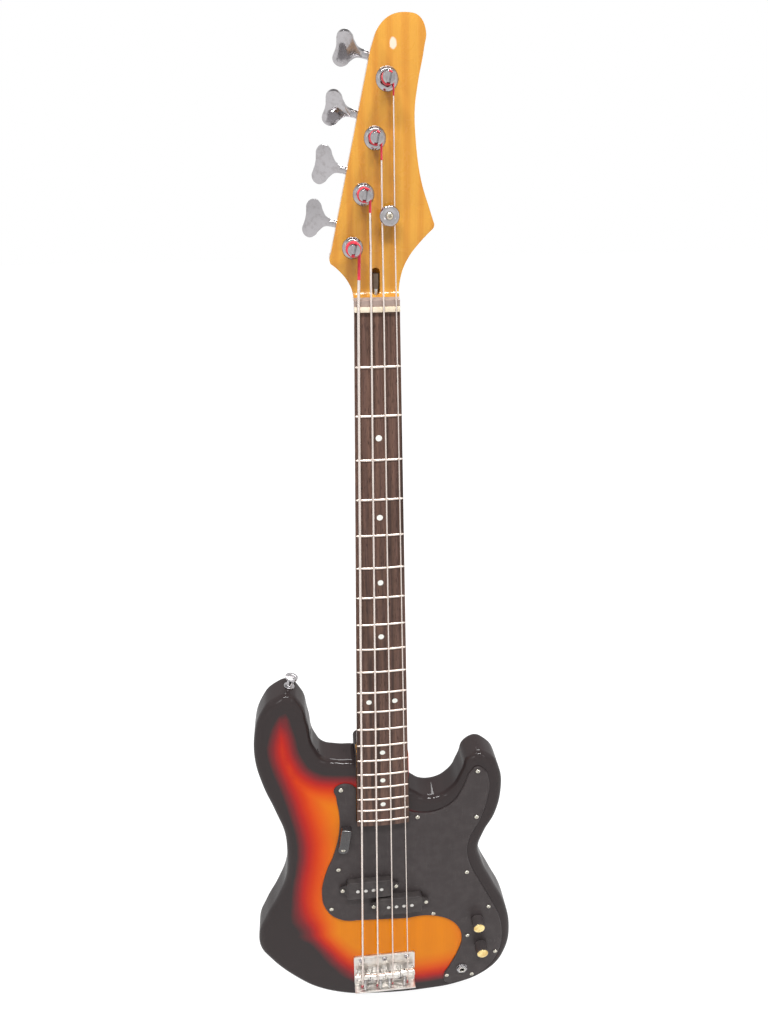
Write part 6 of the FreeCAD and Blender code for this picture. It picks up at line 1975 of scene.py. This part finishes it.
@dataclass
class BridgeLook:
    """The bent bridge plate with its barrels, screws and springs."""

    spring_wire: float = 0.55
    spring_radius: float = 2.0
    spring_turns: float = 9.0
    plate_screw: Fastener = Fastener("bridge_screw", 7.0, 2.4, 3.6, 26.0, finish="chrome_screws")
    length_screw: Fastener = Fastener("length_screw", 5.0, 2.0, 2.5, 30.0, finish="chrome_screws")
    height_screw: Fastener = Fastener("height_screw", 2.5, 0.0, 2.5, 1.0, HeadForm.GRUB,
                                      Drive.SOCKET, "plain_steel")

    def build_springs(self) -> None:
        """Coil springs between the rear wall and the barrels."""
        points, lengths = [], []
        for low, middle, high in Workbench.part_boxes("intonation_springs"):
            points.append(Vector((middle[0], middle[1], low[2] + self.spring_wire / 2 * MM)))
            lengths.append(float(high[2] - low[2]) - self.spring_wire * MM)
        made = TREES.run(TREES.springs(), "intonation_springs_look", points,
                         {"Turns": self.spring_turns, "Coil Radius": self.spring_radius * MM,
                          "Wire Radius": self.spring_wire / 2 * MM,
                          "Finish": FINISHES.material("plain_steel")}, {"length": lengths})
        Workbench.dress(made, "plain_steel", STATIC, "intonation_springs")

    def build_height_screws(self) -> None:
        """Socket grub screws that carry the barrels, each as long as its place needs."""
        seats, lengths = [], []
        for low, middle, high in Workbench.part_boxes("saddle_height_screws"):
            seats.append(Vector((middle[0], low[1], middle[2])))
            lengths.append(float(high[1] - low[1]) / MM)
        ways = [Vector((0, -1, 0))] * len(seats)
        self.height_screw.row("saddle_height_screws", seats, ways, 1, lengths)

    def build_length_screws(self) -> None:
        """Screws through the rear wall that set each barrel's place."""
        seats, lengths = [], []
        for low, middle, high in Workbench.part_boxes("intonation_screws"):
            seats.append(Vector((middle[0], middle[1], low[2] + self.length_screw.rise_mm * MM)))
            lengths.append(float(high[2] - low[2]) / MM - self.length_screw.rise_mm)
        kind = replace(self.length_screw, length_mm=min(lengths))
        kind.row("intonation_screws", seats, [Vector((0, 0, -1))] * len(seats), seed=11)

    def build(self) -> None:
        """Dresses the bridge."""
        Workbench.reskin("bridge_plate", "bridge_chrome", 0.35, slot="chrome_plate")
        Workbench.reskin("bridge_saddles", "saddle_steel", 0.25)
        self.plate_screw.row_from_node("bridge_screws", Facing.FROM_FRONT, seed=12)
        self.build_height_screws()
        self.build_length_screws()
        self.build_springs()
        log.info("bridge: plate, 4 barrels with screws and springs")


@dataclass(frozen=True)
class PaleFloor(Finish):
    """The studio floor, pale and even, which keeps the instrument's shadow."""

    shown: float = 0.76
    white: float = 1.26
    matt: tuple = (0.86, 0.86, 0.86, 1)

    def surface(self, graph: Graph) -> Socket:
        """A matt white that the camera sees as nearly pure white."""
        dull = graph.node("ShaderNodeBsdfDiffuse", {"Color": self.matt})
        glow = graph.node("ShaderNodeEmission", {"Color": WHITE, "Strength": self.white})
        share = graph.times(graph.seen_directly(), self.shown)
        return graph.node("ShaderNodeMixShader",
                          {0: share, 1: dull.outputs[0], 2: glow.outputs[0]}).outputs[0]


@dataclass(frozen=True)
class Lamp:
    """One soft lamp: places and sizes in metres, power in watts."""

    name: str
    place: tuple[float, float, float]
    aim: float
    size: tuple[float, float]
    power: float

    def build(self) -> None:
        """Hangs the lamp, aimed at a height on the instrument's middle line."""
        data = bpy.data.lights.new(self.name, "AREA")
        data.shape = "RECTANGLE"
        data.size, data.size_y = self.size
        data.energy = self.power
        made = placed(self.name, data)
        way = Vector((0.0, 0.0, self.aim)) - Vector(self.place)
        made.rotation_euler = way.to_track_quat("-Z", "Y").to_euler()
        made.location = self.place


@dataclass
class Studio:
    """Camera, floor, lamps and world."""

    eye: tuple = (-63.73, -692.41, 119.63)
    right: tuple = (0.99472, -0.10225, -0.00845)
    up: tuple = (0.04971, 0.40821, 0.91153)
    forward: tuple = (0.08975, 0.90714, -0.41114)
    lens: float = 27.33
    sensor_height: float = 36.0
    clip: tuple = (10.0, 50000.0)
    floor_gap: float = 0.6
    floor_reach: float = 9000.0
    ambient: float = 0.26
    ceiling: float = 0.35
    ceiling_from: float = 0.50
    ceiling_to: float = 0.95
    overhead: Lamp = Lamp("overhead", (0.0, -1.15, 2.0), -0.5, (0.5, 0.35), 32.0)
    overhead_places: tuple = (-0.7, 0.0, 0.7)
    lamps: tuple = (Lamp("front_left", (-1.9, -2.2, 1.0), -0.4, (0.6, 0.9), 8.0),
                    Lamp("front_right", (2.1, -1.8, 0.4), -0.5, (0.7, 1.1), 5.0),
                    Lamp("behind", (0.4, 1.8, 1.8), -0.4, (1.2, 0.8), 50.0))

    def build_camera(self) -> None:
        """The camera at the photograph's place."""
        data = bpy.data.cameras.new("studio_camera")
        data.sensor_fit = "VERTICAL"
        data.sensor_height = self.sensor_height
        data.lens = self.lens
        data.clip_start, data.clip_end = (distance * MM for distance in self.clip)
        camera = placed("studio_camera", data)
        turn = Matrix((self.right, self.up, tuple(-part for part in self.forward))).transposed()
        camera.matrix_world = Matrix.Translation(Vector(self.eye) * MM) @ turn.to_4x4()
        bpy.context.scene.camera = camera

    def build_floor(self) -> None:
        """A plain floor just under the instrument."""
        mesh = bpy.data.meshes.new("floor")
        level, reach = CAD_BOX[0].z - self.floor_gap * MM, self.floor_reach * MM
        corners = ((-reach, -reach), (reach, -reach), (reach, reach), (-reach, reach))
        mesh.from_pydata([(*corner, level) for corner in corners], [], [(0, 1, 2, 3)])
        mesh.materials.append(PaleFloor("pale_floor").build())
        floor = placed("floor", mesh)

    def build_world(self) -> None:
        """A white room with a greyer ceiling, which metal shows too, and a soft even light."""
        world = bpy.data.worlds.new("white_room")
        world.use_nodes = True
        world.node_tree.nodes.clear()
        graph = Graph(world.node_tree)
        way = graph.parts(graph.node("ShaderNodeTexCoord").outputs["Generated"])
        room = graph.remap(way[2], self.ceiling_from, self.ceiling_to, 1.0, self.ceiling)
        light, white = (graph.node("ShaderNodeBackground", {"Color": WHITE, "Strength": strength})
                        for strength in (self.ambient, room))
        both = graph.node("ShaderNodeMixShader", {0: graph.seen_directly(), 1: light.outputs[0],
                                                  2: white.outputs[0]})
        graph.node("ShaderNodeOutputWorld", {"Surface": both.outputs[0]})
        bpy.context.scene.world = world

    def build(self) -> None:
        """Sets up the studio."""
        bpy.context.scene.view_settings.view_transform = "Standard"
        self.build_camera()
        self.build_floor()
        self.build_world()
        _, depth, height = self.overhead.place
        overhead = [replace(self.overhead, name=f"overhead_{number}", place=(across, depth, height))
                    for number, across in enumerate(self.overhead_places)]
        for lamp in (*overhead, *self.lamps):
            lamp.build()
        log.info("studio: camera, floor, world and six soft lamps")


def main() -> None:
    """Builds the instrument's looks, sub-assembly by sub-assembly, and the studio."""
    logging.basicConfig(level=logging.INFO, format="%(name)s: %(message)s")
    for part in (SunburstBody(), NeckLook(), TuningMachines(), Electrics(), BridgeLook(),
                 StringSet(), Studio()):
        part.build()


if __name__ == "__main__":
    main()
